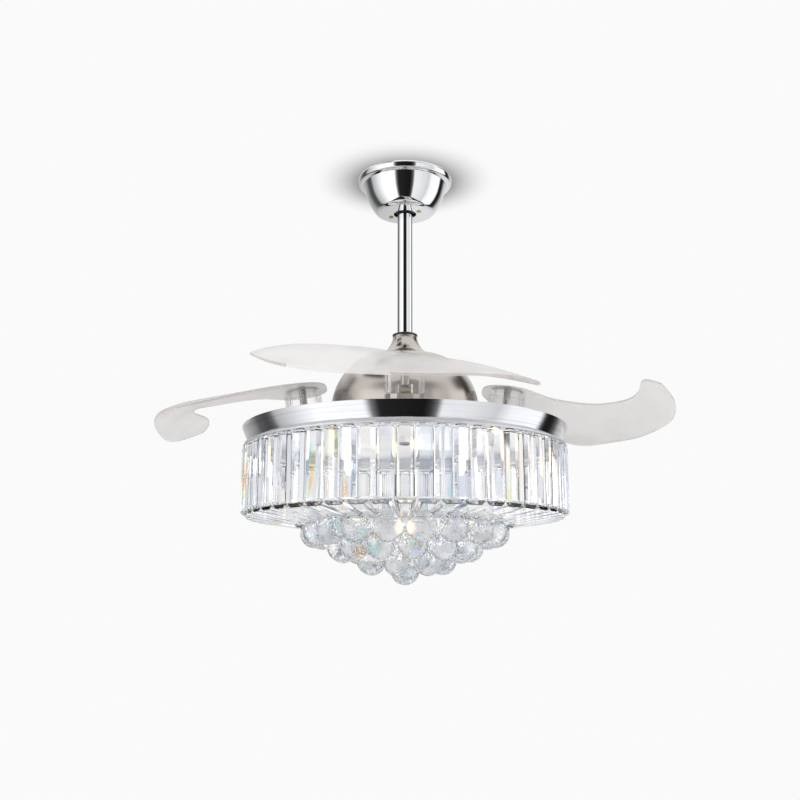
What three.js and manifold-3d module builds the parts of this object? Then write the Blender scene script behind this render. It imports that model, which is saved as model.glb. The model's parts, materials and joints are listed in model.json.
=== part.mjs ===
// A ceiling fan with a crystal drum lamp under it and four clear blades that fold in.
// Millimetres, +Z up. The origin is the middle of the hanger plate's top face, which lies on the ceiling.
import * as THREE from "three";
import { mergeVertices } from "three/addons/utils/BufferGeometryUtils.js";
import Module from "manifold-3d";

const wasm = await Module();
wasm.setup();

// Driving dimensions
const GAP = 0.3; // between pieces that rest on each other
const RUN = 0.5; // between pieces that turn past each other
const OVERRUN = 2; // how far a cutting tool passes a face

// Ceiling end
const PLATE_RADIUS = 52;
const PLATE_THICK = 2.5;
const BALL_RADIUS = 19;
const BALL_DROP = 22;
const CUP_OUTER = 29;
const CUP_THICK = 3;
const CUP_DROP = 6; // below the ball's middle
const LEG_WIDTH = 20;
const LEG_THICK = 4;
const CANOPY_RADIUS = 68.5;
const CANOPY_FLOOR_RADIUS = 39;
const CANOPY_DEPTH = 54.5;
const CANOPY_WALL = 1.6;
const CANOPY_HOLE = 16.5;
const CANOPY_ROLL = 2.5; // how far the rolled rim stands past its own top edge
const CANOPY_SCREW_CIRCLE = 23;
const CANOPY_SCREW_HEAD = 3.6;
const CANOPY_SCREW_SHANK = 1.8;
const RECEIVER_SIZE = [34, 24, 17];

// Rod and neck
const ROD_RADIUS = 11;
const ROD_WALL = 2;
const ROD_TOP = 6; // below the ceiling
const COLLAR_DROP = 237; // ceiling to the collar's top
const COLLAR_RADIUS = 18;
const COLLAR_THICK = 4;
const NECK_TOP_RADIUS = 17;
const NECK_BASE_RADIUS = 46;
const NECK_HEIGHT = 31;
const NECK_WALL = 1.6;
const COUPLER_RADIUS = 13.2;
const COUPLER_LENGTH = 16;
const PIN_RADIUS = 2.5;

// Motor
const DOME_RADIUS = 104;
const DOME_HEIGHT = 90;
const DOME_WALL = 1.8;
const SHAFT_RADIUS = 8;
const SHAFT_BORE = 5;
const STATOR_RADIUS = 52;
const STATOR_HEIGHT = 30;
const STATOR_DROP = 26; // dome top to stator top
const STATOR_SLOTS = 12;
const STATOR_SLOT_WIDTH = 7;
const MAGNET_THICK = 7;
const BELL_WALL = 3.5;
const BEARING_RADIUS = 16;
const BEARING_HEIGHT = 8;
const BEARING_SPACER = 1.6;
const ROTOR_THICK = 3.5;
const ROTOR_HUB_WALL = 4.5;
const ROTOR_WEB_RADIUS = 112;
const ARM_WIDTH = 44;

// Blades
const BLADE_COUNT = 4;
const PIVOT_CIRCLE = 145; // radius of the circle that the blade pivots stand on
const PIVOT_LEAN = 8.5; // degrees that each pivot leans outwards
const BLADE_THICK = 3;
const BLADE_REACH = 207; // pivot to the middle of the rim
const PAD_RISE = 9.7; // rotor's top up to the middle of each leaning pad
const BLADE_LOBE_PITCH = 0.01; // rise over run of the trailing lobe beside the pivot
const BLADE_LOBE_CURL = 0.189; // how much that grows over a reach to the side
const BLADE_LOBE_TWIST = 0.51; // share that both gain over a reach outwards
const BLADE_HOOK_PITCH = 0.346; // the same three for the leading hook, which flattens out
const BLADE_HOOK_CURL = -0.371;
const BLADE_HOOK_TWIST = -0.344;
const BLADE_LIP_START_SHARE = 0.706; // of the reach, where the rim starts to turn down
const BLADE_LIP_DROP = 27.6; // at the full reach
const HUB_RADIUS = 26;
const HUB_LENGTH = 32;
const HUB_SCREW_CIRCLE = 17;
const HUB_SCREW_RADIUS = 2;
const HUB_SCREW_HEAD = 3.6;
const HUB_SCREW_LENGTH = 18;
const HUB_PLATE_THICK = 1.4;
const HUB_PLATE_RADIUS = 22.5;
const PIVOT_RADIUS = 5;
const PIVOT_HEAD_RADIUS = 8;
const PIVOT_HEAD_THICK = 3;
const SPRING_OUTER = 11;
const SPRING_INNER = 7;
const SPRING_LENGTH = 12;
const SPRING_TURNS = 2;

// Lamp
const LAMP_GAP = 16.4; // dome's foot down to the band's top edge
const BAND_TOP_RADIUS = 225;
const BAND_TAPER = 10; // how much narrower the band's foot is, on the radius
const BAND_HEIGHT = 25;
const BAND_WALL = 2;
const PAN_SINK = 4; // band top to pan top
const PAN_THICK = 2;
const BOARD_MARGIN = 40; // band top's edge to the board's edge
const BOARD_THICK = 1.6;
const NUT_RADIUS = 14;
const NUT_HEIGHT = 9;
const DRIVER_SIZE = [88, 46, 22];
const BULB_COUNT = 4;
const BULB_CIRCLE = 112;
const BULB_RADIUS = 9;
const BULB_LENGTH = 44;
const CARRIER_THICK = 2.2;
const CARRIER_WIDTH = 20;
const PRISM_PITCH = 23.35; // along the circle that the prisms hang on
const PRISM_BANKS = 4;
const PRISM_WIDTH = 21.6;
const PRISM_DEPTH = 11;
const PRISM_FACE = 13.5; // width of the flat front
const PRISM_LENGTH = 90;
const PRISM_BEVEL = 8;
const POST_RADIUS = 2.5;
const POST_COUNT = 4;
const LOWER_RING_WIDTH = 6;
const LOWER_RING_THICK = 3;
const BAR_COUNT = 48;
const BAR_THICK = 5;
const BAR_LENGTH = 67.2;
const BAR_FALL = 10; // how much lower a bar's inner end is
const TRAY_THICK = 2;
const BALL_SIZE = 19.6; // radius of a hanging ball
const TIER_RAIL_WIDTH = 5;
const TIER_RAIL_THICK = 2;
const TRAY_MARGIN = 4; // bars' inner ends to the tray's edge
const OUTER_TIER_DROP = 142; // band top to the middle of the tier's balls
const MIDDLE_TIER_DROP = 161.5;
const INNER_TIER_DROP = 178.5;
const CENTRE_BALL_DROP = 192;
const BALL_PITCH = 42.5; // least distance between two balls of a tier, along its circle

// Levels that follow from the sizes
const BALL_Z = -BALL_DROP;
const COLLAR_Z = -COLLAR_DROP;
const NECK_Z = COLLAR_Z - COLLAR_THICK - GAP;
const DOME_Z = NECK_Z - NECK_HEIGHT - GAP;
const DOME_FOOT_Z = DOME_Z - DOME_HEIGHT;
const ROTOR_Z = DOME_FOOT_Z - 2 * OVERRUN;
const PAD_DROP = BLADE_THICK / 2 + GAP + HUB_LENGTH + RUN; // along the pivot, below the blade's middle
const BLADE_Z = ROTOR_Z + PAD_RISE + PAD_DROP;
const BAND_Z = DOME_FOOT_Z - LAMP_GAP;
const PAN_Z = BAND_Z - PAN_SINK;
const BOARD_Z = PAN_Z - PAN_THICK - GAP;
const BAND_FOOT_Z = BAND_Z - BAND_HEIGHT;
const CARRIER_Z = BAND_FOOT_Z - GAP;
const RAIL_Z = CARRIER_Z - CARRIER_THICK - GAP;
const PRISM_FOOT_Z = RAIL_Z - PRISM_LENGTH;
const LOWER_RING_Z = PRISM_FOOT_Z + LOWER_RING_THICK + GAP;

// Radii and counts that follow from the sizes: the carrier reaches out as far as the inside of the
// band's top, and the prisms hang at its edge.
const BAND_BOTTOM_RADIUS = BAND_TOP_RADIUS - BAND_TAPER;
const BOARD_RADIUS = BAND_TOP_RADIUS - BOARD_MARGIN;
const CARRIER_OUTER = BAND_TOP_RADIUS - BAND_WALL;
const CARRIER_INNER = CARRIER_OUTER - CARRIER_WIDTH;
const PRISM_OUTER = CARRIER_OUTER + PRISM_DEPTH / 2;
const PRISM_COUNT = PRISM_BANKS * Math.round((2 * Math.PI * CARRIER_OUTER) / (PRISM_BANKS * PRISM_PITCH));
const FRAME_RADIUS = PRISM_OUTER - PRISM_DEPTH - GAP;
const BAR_OUTER = FRAME_RADIUS;
const BAR_INNER = BAR_OUTER - BAR_LENGTH;
const TRAY_EDGE = BAR_INNER - TRAY_MARGIN;

// Each tier's circle and the tray's step inside it, as shares of the tray's edge.
const TIER_SHARES = [
  [0.8493, 0.7089],
  [0.6027, 0.4726],
  [0.3493, 0.226],
  [0, 0],
];
const TIER_NAMES = ["outer", "middle", "inner", "centre"];
const TIER_DROPS = [OUTER_TIER_DROP, MIDDLE_TIER_DROP, INNER_TIER_DROP, CENTRE_BALL_DROP];
const TIERS = TIER_SHARES.map(([circle, wall], i) => ({
  name: TIER_NAMES[i],
  circle: circle * TRAY_EDGE,
  wall: wall * TRAY_EDGE,
  drop: TIER_DROPS[i],
}));

// Materials
function finish(color, roughness, metalness, opacity = 1) {
  return new THREE.MeshStandardMaterial({
    color,
    roughness,
    metalness,
    opacity,
    transparent: opacity < 1,
  });
}
const CHROME = finish(0xd9dbde, 0.08, 1);
const NICKEL = finish(0xc9bfb6, 0.22, 1);
const BRUSHED = finish(0xc4c7cb, 0.28, 1);
const STEEL = finish(0x9a9da1, 0.4, 1);
const BLACK = finish(0x141414, 0.45, 0.2);
const COPPER = finish(0xa5603a, 0.4, 0.8);
const BRASS = finish(0xb48a4a, 0.35, 1);
const WHITE = finish(0xf1f1ee, 0.6, 0);
const CLEAR = finish(0xe6e3e1, 0.05, 0, 0.3);
const CRYSTAL = finish(0xf4f8fb, 0.02, 0, 0.35);
const GLOW = finish(0xffe2ae, 0.3, 0, 0.8);

// Geometry helpers
function clean(geometry) {
  const source = geometry.index ? geometry.toNonIndexed() : geometry.clone();
  const bare = new THREE.BufferGeometry();
  bare.setAttribute("position", source.getAttribute("position"));
  const merged = mergeVertices(bare, 1e-4);
  const position = merged.getAttribute("position");
  const corners = [new THREE.Vector3(), new THREE.Vector3(), new THREE.Vector3()];
  const kept = [];
  let volume = 0;
  for (let i = 0; i < merged.index.count; i += 3) {
    const [a, b, c] = [0, 1, 2].map((k) => merged.index.getX(i + k));
    if (a === b || b === c || a === c) continue;
    [a, b, c].forEach((v, k) => corners[k].fromBufferAttribute(position, v));
    volume += corners[0].dot(corners[1].clone().cross(corners[2]));
    kept.push(a, b, c);
  }
  if (volume < 0) {
    for (let i = 0; i < kept.length; i += 3) [kept[i + 1], kept[i + 2]] = [kept[i + 2], kept[i + 1]];
  }
  merged.setIndex(kept);
  return merged;
}

function toSolid(geometry) {
  const g = clean(geometry);
  return new wasm.Manifold(
    new wasm.Mesh({
      numProp: 3,
      vertProperties: new Float32Array(g.getAttribute("position").array),
      triVerts: new Uint32Array(g.index.array),
    }),
  );
}

function toGeometry(solid) {
  const mesh = solid.getMesh();
  const geometry = new THREE.BufferGeometry();
  const points = new Float32Array(mesh.numVert * 3);
  for (let i = 0; i < mesh.numVert; i++) {
    const at = i * mesh.numProp;
    points.set(mesh.vertProperties.subarray(at, at + 3), i * 3);
  }
  geometry.setAttribute("position", new THREE.BufferAttribute(points, 3));
  geometry.setIndex(new THREE.BufferAttribute(new Uint32Array(mesh.triVerts), 1));
  return geometry;
}

function join(...geometries) {
  return toGeometry(geometries.map(toSolid).reduce((a, b) => a.add(b)));
}

function cut(body, ...tools) {
  return toGeometry(tools.map(toSolid).reduce((a, b) => a.subtract(b), toSolid(body)));
}

// A solid of revolution about Z from [radius, z] points.
function turned(profile, sides = 24) {
  const closed = profile[0][0] === 0 ? profile : [...profile, profile[0]];
  const points = closed.map(([r, z]) => new THREE.Vector2(r, z));
  return new THREE.LatheGeometry(points, sides).rotateX(Math.PI / 2);
}

function ring(inner, outer, top, height, sides = 24) {
  const foot = top - height;
  return turned([[inner, foot], [outer, foot], [outer, top], [inner, top]], sides);
}

function disc(radius, top, height, sides = 24) {
  return turned([[0, top - height], [radius, top - height], [radius, top], [0, top]], sides);
}

function box(width, depth, height, x, y, top) {
  return new THREE.BoxGeometry(width, depth, height).translate(x, y, top - height / 2);
}

function around(count, make, start = 0) {
  return Array.from({ length: count }, (_, i) => make(start + (i * 2 * Math.PI) / count, i));
}

const fan = new THREE.Group();

function add(parent, name, geometry, material) {
  const mesh = new THREE.Mesh(clean(geometry), material);
  mesh.name = name;
  parent.add(mesh);
  return mesh;
}

// Ceiling end: hanger plate with its cup, canopy, screws and receiver
const CUP_Z = BALL_Z - CUP_DROP;
const CUP_INNER = Math.sqrt(BALL_RADIUS ** 2 - CUP_DROP ** 2) + RUN;

function hangerPlate() {
  const legHeight = -PLATE_THICK - (CUP_Z - CUP_THICK) + PLATE_THICK / 2;
  const legX = CUP_OUTER - LEG_THICK / 2;
  return join(
    disc(PLATE_RADIUS, 0, PLATE_THICK, 28),
    ring(CUP_INNER, CUP_OUTER, CUP_Z, CUP_THICK, 28),
    box(LEG_THICK, LEG_WIDTH, legHeight, legX, 0, -PLATE_THICK / 2),
    box(LEG_THICK, LEG_WIDTH, legHeight, -legX, 0, -PLATE_THICK / 2),
  );
}

// The outer profile of the rolled rim, and of the bowl under it, as shares of radius and depth.
const RIM_SHARES = [
  [1, 0.04],
  [0.986, 0.165],
  [0.9, 0.2],
];
const BOWL_SHARES = [
  [0.882, 0.228],
  [0.854, 0.367],
  [0.797, 0.587],
  [0.723, 0.771],
  [0.664, 0.881],
];

function canopy() {
  const sized = ([r, z]) => [r * CANOPY_RADIUS, -z * CANOPY_DEPTH];
  const outer = BOWL_SHARES.map(sized);
  const inner = outer.map(([r, z]) => [r - 1.5 * CANOPY_WALL, z + CANOPY_WALL]).reverse();
  const mouth = inner[inner.length - 1][0];
  const bowl = turned(
    [
      [CANOPY_RADIUS - CANOPY_ROLL, -GAP],
      ...RIM_SHARES.map(sized),
      ...outer,
      [CANOPY_FLOOR_RADIUS, -CANOPY_DEPTH],
      [CANOPY_HOLE, -CANOPY_DEPTH],
      [CANOPY_HOLE, -CANOPY_DEPTH + CANOPY_WALL],
      [CANOPY_FLOOR_RADIUS - CANOPY_WALL, -CANOPY_DEPTH + CANOPY_WALL],
      ...inner,
      [mouth, -GAP],
    ],
    36,
  );
  const holes = canopyScrewPlaces().map(([x, y]) =>
    disc(CANOPY_SCREW_SHANK + GAP, -CANOPY_DEPTH + 2 * OVERRUN, 4 * OVERRUN, 12).translate(x, y, 0),
  );
  return cut(bowl, ...holes);
}

const CANOPY_SCREW_TURNS = [-28, 152];

function canopyScrewPlaces() {
  return CANOPY_SCREW_TURNS.map((turn) => {
    const a = THREE.MathUtils.degToRad(turn);
    return [CANOPY_SCREW_CIRCLE * Math.cos(a), CANOPY_SCREW_CIRCLE * Math.sin(a)];
  });
}

function canopyScrew() {
  const head = -CANOPY_DEPTH - GAP;
  const top = CUP_Z - CUP_THICK - GAP;
  return turned(
    [
      [0, head - CANOPY_WALL],
      [CANOPY_SCREW_HEAD / 2, head - CANOPY_WALL],
      [CANOPY_SCREW_HEAD, head],
      [CANOPY_SCREW_SHANK, head],
      [CANOPY_SCREW_SHANK, top],
      [0, top],
    ],
    12,
  );
}

const RECEIVER_Y = BALL_RADIUS + RUN + RECEIVER_SIZE[1] / 2 + CUP_THICK;

function ceilingEnd() {
  const group = new THREE.Group();
  add(group, "hanger_plate", hangerPlate(), STEEL);
  add(group, "canopy", canopy(), CHROME);
  canopyScrewPlaces().forEach(([x, y], i) => {
    add(group, "canopy_screw_" + (i + 1), canopyScrew(), BRASS).position.set(x, y, 0);
  });
  const receiver = box(...RECEIVER_SIZE, 0, RECEIVER_Y, -PLATE_THICK - GAP);
  add(group, "remote_receiver", receiver, BLACK);
  return group;
}

// Rod, hanger ball, collar and neck
const ROD_FOOT_Z = NECK_Z - COUPLER_LENGTH / 2;

function downrod() {
  const tube = ring(ROD_RADIUS - ROD_WALL, ROD_RADIUS, -ROD_TOP, -ROD_TOP - ROD_FOOT_Z);
  return cut(tube, crossHole(BALL_Z));
}

function crossHole(z) {
  return new THREE.CylinderGeometry(PIN_RADIUS + GAP, PIN_RADIUS + GAP, 2 * BALL_RADIUS + 2 * OVERRUN, 12)
    .rotateZ(Math.PI / 2)
    .translate(0, 0, z);
}

function hangerBall() {
  const points = [];
  const start = Math.acos((ROD_RADIUS + GAP) / BALL_RADIUS);
  const steps = 7;
  for (let i = 0; i <= steps; i++) {
    const a = -start + (2 * start * i) / steps;
    points.push([BALL_RADIUS * Math.cos(a), BALL_Z + BALL_RADIUS * Math.sin(a)]);
  }
  return cut(turned(points), crossHole(BALL_Z));
}

function ballPin() {
  const length = 2 * Math.sqrt(BALL_RADIUS ** 2 - PIN_RADIUS ** 2) - 2 * RUN;
  return new THREE.CylinderGeometry(PIN_RADIUS, PIN_RADIUS, length, 12)
    .rotateZ(Math.PI / 2)
    .translate(0, 0, BALL_Z);
}

function collar() {
  const inner = ROD_RADIUS + GAP;
  const foot = COLLAR_Z - COLLAR_THICK;
  return turned(
    [
      [inner, foot],
      [COLLAR_RADIUS, foot],
      [COLLAR_RADIUS, COLLAR_Z - COLLAR_THICK / 2],
      [inner + COLLAR_THICK / 2, COLLAR_Z],
      [inner, COLLAR_Z],
    ],
    28,
  );
}

// The bell's outer profile, as shares of the way from its top radius to its base and of its height.
const NECK_SHARES = [
  [0, 0],
  [0.1, 0.3],
  [0.3, 0.63],
  [0.62, 0.88],
  [1, 1],
];

function neck() {
  const spread = NECK_BASE_RADIUS - NECK_TOP_RADIUS;
  const outer = NECK_SHARES.map(([r, z]) => [NECK_TOP_RADIUS + r * spread, NECK_Z - z * NECK_HEIGHT]);
  const inner = outer.map(([r, z]) => [r - 2 * NECK_WALL, z]);
  const bell = turned([...outer, ...inner.reverse()], 32);
  return cut(bell, neckScrewHole());
}

const NECK_SCREW_SHARE = 0.7; // of the neck's height
const NECK_SCREW_RADIUS = 2.2;
const NECK_SCREW_Z = NECK_Z - NECK_SCREW_SHARE * NECK_HEIGHT;
const NECK_SCREW_REACH = NECK_TOP_RADIUS + 0.39 * (NECK_BASE_RADIUS - NECK_TOP_RADIUS);

function rodAlongY(radius, length, y, z) {
  return new THREE.CylinderGeometry(radius, radius, length, 12).translate(0, y, z);
}

function neckScrewHole() {
  const length = NECK_SCREW_REACH;
  return rodAlongY(NECK_SCREW_RADIUS + GAP, length, -NECK_SCREW_REACH, NECK_SCREW_Z);
}

function neckScrew() {
  const length = NECK_SCREW_REACH - COUPLER_RADIUS - GAP;
  return rodAlongY(NECK_SCREW_RADIUS, length, -COUPLER_RADIUS - GAP - length / 2, NECK_SCREW_Z);
}

const SHAFT_TOP_Z = ROD_FOOT_Z - GAP;

function coupler() {
  const top = ROD_FOOT_Z + COUPLER_LENGTH / 2;
  const foot = DOME_Z + GAP;
  return turned(
    [
      [SHAFT_RADIUS + GAP, foot],
      [COUPLER_RADIUS, foot],
      [COUPLER_RADIUS, top],
      [ROD_RADIUS + GAP, top],
      [ROD_RADIUS + GAP, SHAFT_TOP_Z],
      [SHAFT_RADIUS + GAP, SHAFT_TOP_Z],
    ],
  );
}

// Motor: dome, fixed shaft, wound stator, bearings
const DOME_SHARES = [
  [0.44, 0],
  [0.59, 0.055],
  [0.72, 0.16],
  [0.83, 0.3],
  [0.92, 0.45],
  [0.975, 0.62],
  [1, 0.8],
  [1, 1],
];

function dome() {
  const outer = DOME_SHARES.map(([r, z]) => [r * DOME_RADIUS, DOME_Z - z * DOME_HEIGHT]);
  const inner = outer
    .filter((_, i) => i % 2)
    .map(([r, z]) => [r - 2 * DOME_WALL, Math.max(z - 2 * DOME_WALL, DOME_FOOT_Z)]);
  const eye = SHAFT_RADIUS + GAP;
  const profile = [[eye, DOME_Z], ...outer, ...inner.reverse(), [eye, DOME_Z - DOME_WALL]];
  return turned(profile, 40);
}

const NUT_Z = BOARD_Z - BOARD_THICK - GAP;
const SHAFT_FOOT_Z = NUT_Z - NUT_HEIGHT - OVERRUN;

function shaft() {
  return ring(SHAFT_BORE, SHAFT_RADIUS, SHAFT_TOP_Z, SHAFT_TOP_Z - SHAFT_FOOT_Z, 20);
}

const STATOR_Z = DOME_Z - STATOR_DROP;

function stator() {
  const core = ring(SHAFT_RADIUS + GAP, STATOR_RADIUS, STATOR_Z, STATOR_HEIGHT, 24);
  const reach = STATOR_RADIUS / 2;
  const slots = around(STATOR_SLOTS, (a) =>
    new THREE.BoxGeometry(reach, STATOR_SLOT_WIDTH, STATOR_HEIGHT + 2 * OVERRUN)
      .translate(STATOR_RADIUS, 0, STATOR_Z - STATOR_HEIGHT / 2)
      .rotateZ(a),
  );
  return cut(core, ...slots);
}

const LOWER_BEARING_Z = DOME_FOOT_Z + BEARING_HEIGHT;
const UPPER_BEARING_Z = LOWER_BEARING_Z + BEARING_SPACER + BEARING_HEIGHT;

function bearing(top) {
  return ring(SHAFT_RADIUS + GAP, BEARING_RADIUS, top, BEARING_HEIGHT, 20);
}

function hangingGroup() {
  const group = new THREE.Group();
  add(group, "hanger_ball", hangerBall(), BLACK);
  add(group, "ball_pin", ballPin(), STEEL);
  add(group, "downrod", downrod(), CHROME);
  add(group, "rod_collar", collar(), BLACK);
  add(group, "neck_bell", neck(), NICKEL);
  add(group, "neck_screw", neckScrew(), BLACK);
  add(group, "rod_coupler", coupler(), STEEL);
  add(group, "motor_dome", dome(), NICKEL);
  add(group, "motor_shaft", shaft(), STEEL);
  add(group, "motor_stator", stator(), COPPER);
  add(group, "upper_bearing", bearing(UPPER_BEARING_Z), STEEL);
  add(group, "lower_bearing", bearing(LOWER_BEARING_Z), STEEL);
  return group;
}

// Rotor: bell, web and four arms whose pads lean with the blade pivots
const LEAN = THREE.MathUtils.degToRad(PIVOT_LEAN);

// Moves a shape from a pivot's own frame (+X outwards, +Z along the pivot) to its place on the circle.
function atPivot(geometry, turn) {
  return geometry.rotateY(LEAN).translate(PIVOT_CIRCLE, 0, BLADE_Z).rotateZ(turn);
}

const ROTOR_BELL_INNER = STATOR_RADIUS + RUN + MAGNET_THICK + GAP;

function rotorSpider() {
  const foot = ROTOR_Z - ROTOR_THICK;
  const hubInner = BEARING_RADIUS + RUN;
  const hub = ring(hubInner, hubInner + ROTOR_HUB_WALL, UPPER_BEARING_Z, UPPER_BEARING_Z - foot, 16);
  const web = ring(hubInner, ROTOR_WEB_RADIUS, ROTOR_Z, ROTOR_THICK, 28);
  const bellTop = STATOR_Z + OVERRUN;
  const bell = ring(ROTOR_BELL_INNER, ROTOR_BELL_INNER + BELL_WALL, bellTop, bellTop - foot, 28);
  const armLength = PIVOT_CIRCLE - ROTOR_WEB_RADIUS + HUB_RADIUS;
  const armX = ROTOR_WEB_RADIUS + armLength / 2 - HUB_RADIUS;
  const arms = around(BLADE_COUNT, (a) => box(armLength, ARM_WIDTH, ROTOR_THICK, armX, 0, ROTOR_Z).rotateZ(a));
  const padFloor = (turn) =>
    new THREE.BoxGeometry(4 * HUB_RADIUS, 4 * HUB_RADIUS, 4 * HUB_RADIUS)
      .translate(PIVOT_CIRCLE, 0, foot - 2 * HUB_RADIUS)
      .rotateZ(turn);
  const pads = around(BLADE_COUNT, (a) =>
    cut(atPivot(disc(HUB_RADIUS, -PAD_DROP, 2 * HUB_RADIUS, 16), a), padFloor(a)),
  );
  return join(hub, web, bell, ...arms, ...pads);
}

function magnetRing() {
  const inner = STATOR_RADIUS + RUN;
  return ring(inner, inner + MAGNET_THICK, STATOR_Z, STATOR_HEIGHT, 28);
}

// A pivot pin: it stands on its pad and ends in a head over the blade's plate.
function pivotPin() {
  const head = BLADE_THICK / 2 + GAP + HUB_PLATE_THICK + RUN;
  const foot = -PAD_DROP + GAP;
  return turned(
    [
      [0, foot],
      [PIVOT_RADIUS, foot],
      [PIVOT_RADIUS, head],
      [PIVOT_HEAD_RADIUS, head],
      [PIVOT_HEAD_RADIUS - PIVOT_HEAD_THICK / 2, head + PIVOT_HEAD_THICK],
      [0, head + PIVOT_HEAD_THICK],
    ],
    16,
  );
}

// The two edges of a blade in its pivot's frame, as shares of the reach: outwards, then towards
// the leading side. Both run from the root's end to the hook's tip.
const LOBE_EDGE_SHARES = [
  [-0.172, 0],
  [-0.173, -0.138],
  [-0.112, -0.276],
  [0.017, -0.422],
  [0.187, -0.553],
  [0.351, -0.664],
  [0.491, -0.736],
  [0.626, -0.756],
  [0.765, -0.676],
  [0.863, -0.528],
  [0.936, -0.362],
  [0.976, -0.19],
  [0.999, 0],
  [1.027, 0.223],
  [1.029, 0.454],
  [0.987, 0.646],
  [0.911, 0.771],
  [0.843, 0.815],
];
const HOOK_EDGE_SHARES = [
  [-0.172, 0],
  [-0.151, 0.097],
  [-0.082, 0.157],
  [0.021, 0.183],
  [0.126, 0.144],
  [0.204, 0.067],
  [0.295, -0.008],
  [0.406, -0.023],
  [0.541, -0.013],
  [0.67, 0.039],
  [0.765, 0.134],
  [0.804, 0.272],
  [0.8, 0.425],
  [0.772, 0.564],
  [0.764, 0.678],
  [0.789, 0.76],
  [0.843, 0.815],
];
const BLADE_STEPS = 22;
const BLADE_LANES = 4;

function bladeEdge(shares) {
  const points = shares.map(([u, w]) => new THREE.Vector3(u * BLADE_REACH, w * BLADE_REACH, 0));
  return new THREE.CatmullRomCurve3(points, false, "centripetal").getSpacedPoints(BLADE_STEPS);
}

const BEND_START = 1.5 * HUB_RADIUS; // the blade is flat inside this circle round its pivot
const BEND_END = 2.6 * HUB_RADIUS;
const LOBE_BEND = { pitch: BLADE_LOBE_PITCH, curl: BLADE_LOBE_CURL, twist: BLADE_LOBE_TWIST };
const HOOK_BEND = { pitch: BLADE_HOOK_PITCH, curl: BLADE_HOOK_CURL, twist: BLADE_HOOK_TWIST };

// How far the blade's middle surface stands off its pivot's plane.
function bladeHeight(u, w) {
  const start = BLADE_LIP_START_SHARE * BLADE_REACH;
  const over = Math.max(0, u - start) / (BLADE_REACH - start);
  const side = w < 0 ? LOBE_BEND : HOOK_BEND;
  const [across, along] = [w / BLADE_REACH, u / BLADE_REACH];
  const pitch = (side.pitch + side.curl * Math.abs(across)) * (1 + side.twist * along);
  const bend = THREE.MathUtils.smoothstep(Math.hypot(u, w), BEND_START, BEND_END);
  return bend * pitch * w - BLADE_LIP_DROP * over ** 2;
}

// A sheet of even thickness between the two edges. The leading side is -Y, clockwise from above.
function bladeSheet() {
  const lobe = bladeEdge(LOBE_EDGE_SHARES);
  const hook = bladeEdge(HOOK_EDGE_SHARES);
  const rows = lobe.map((p, i) =>
    Array.from({ length: BLADE_LANES + 1 }, (_, j) => p.clone().lerp(hook[i], j / BLADE_LANES)),
  );
  const positions = [];
  const corner = (i, j, side) => {
    const p = rows[i][j];
    return [p.x, -p.y, bladeHeight(p.x, p.y) + (side * BLADE_THICK) / 2];
  };
  const quad = (a, b, c, d) => positions.push(...a, ...b, ...c, ...a, ...c, ...d);
  for (let i = 0; i < BLADE_STEPS; i++) {
    for (let j = 0; j < BLADE_LANES; j++) {
      quad(corner(i, j, 1), corner(i, j + 1, 1), corner(i + 1, j + 1, 1), corner(i + 1, j, 1));
      quad(corner(i, j, -1), corner(i + 1, j, -1), corner(i + 1, j + 1, -1), corner(i, j + 1, -1));
    }
    quad(corner(i, 0, -1), corner(i, 0, 1), corner(i + 1, 0, 1), corner(i + 1, 0, -1));
    const k = BLADE_LANES;
    quad(corner(i, k, 1), corner(i, k, -1), corner(i + 1, k, -1), corner(i + 1, k, 1));
  }
  [0, BLADE_STEPS].forEach((i) => {
    for (let j = 0; j < BLADE_LANES; j++) {
      const face = [corner(i, j, 1), corner(i, j, -1), corner(i, j + 1, -1), corner(i, j + 1, 1)];
      quad(...(i === 0 ? face : face.reverse()));
    }
  });
  const sheet = new THREE.BufferGeometry();
  sheet.setAttribute("position", new THREE.Float32BufferAttribute(positions, 3));
  return sheet;
}

function hubScrewPlaces() {
  return around(4, (a) => [HUB_SCREW_CIRCLE * Math.cos(a), HUB_SCREW_CIRCLE * Math.sin(a)]);
}

function hubHoles(top, height) {
  const centre = disc(PIVOT_RADIUS + RUN, top, height, 12);
  const corners = hubScrewPlaces().map(([x, y]) =>
    disc(HUB_SCREW_RADIUS + GAP, top, height, 6).translate(x, y, 0),
  );
  return [centre, ...corners];
}

function blade() {
  return cut(bladeSheet(), ...hubHoles(BLADE_THICK, 2 * BLADE_THICK));
}

// The clear boss under the blade's root, bored for the pivot, its spring and the four screws.
function hubBoss() {
  const top = -BLADE_THICK / 2 - GAP;
  const boss = turned(
    [
      [0, top - HUB_LENGTH],
      [HUB_RADIUS - OVERRUN, top - HUB_LENGTH],
      [HUB_RADIUS, top - HUB_LENGTH + OVERRUN],
      [HUB_RADIUS, top],
      [0, top],
    ],
    20,
  );
  const pocketTop = top - HUB_LENGTH + SPRING_LENGTH + RUN;
  const pocket = disc(SPRING_OUTER + RUN, pocketTop, SPRING_LENGTH + RUN + OVERRUN, 12);
  const bore = disc(PIVOT_RADIUS + RUN, top + OVERRUN, HUB_LENGTH + 2 * OVERRUN, 12);
  const screws = hubScrewPlaces().map(([x, y]) =>
    disc(HUB_SCREW_RADIUS + GAP, top + OVERRUN, HUB_SCREW_LENGTH + OVERRUN, 6).translate(x, y, 0),
  );
  return cut(boss, pocket, bore, ...screws);
}

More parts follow.
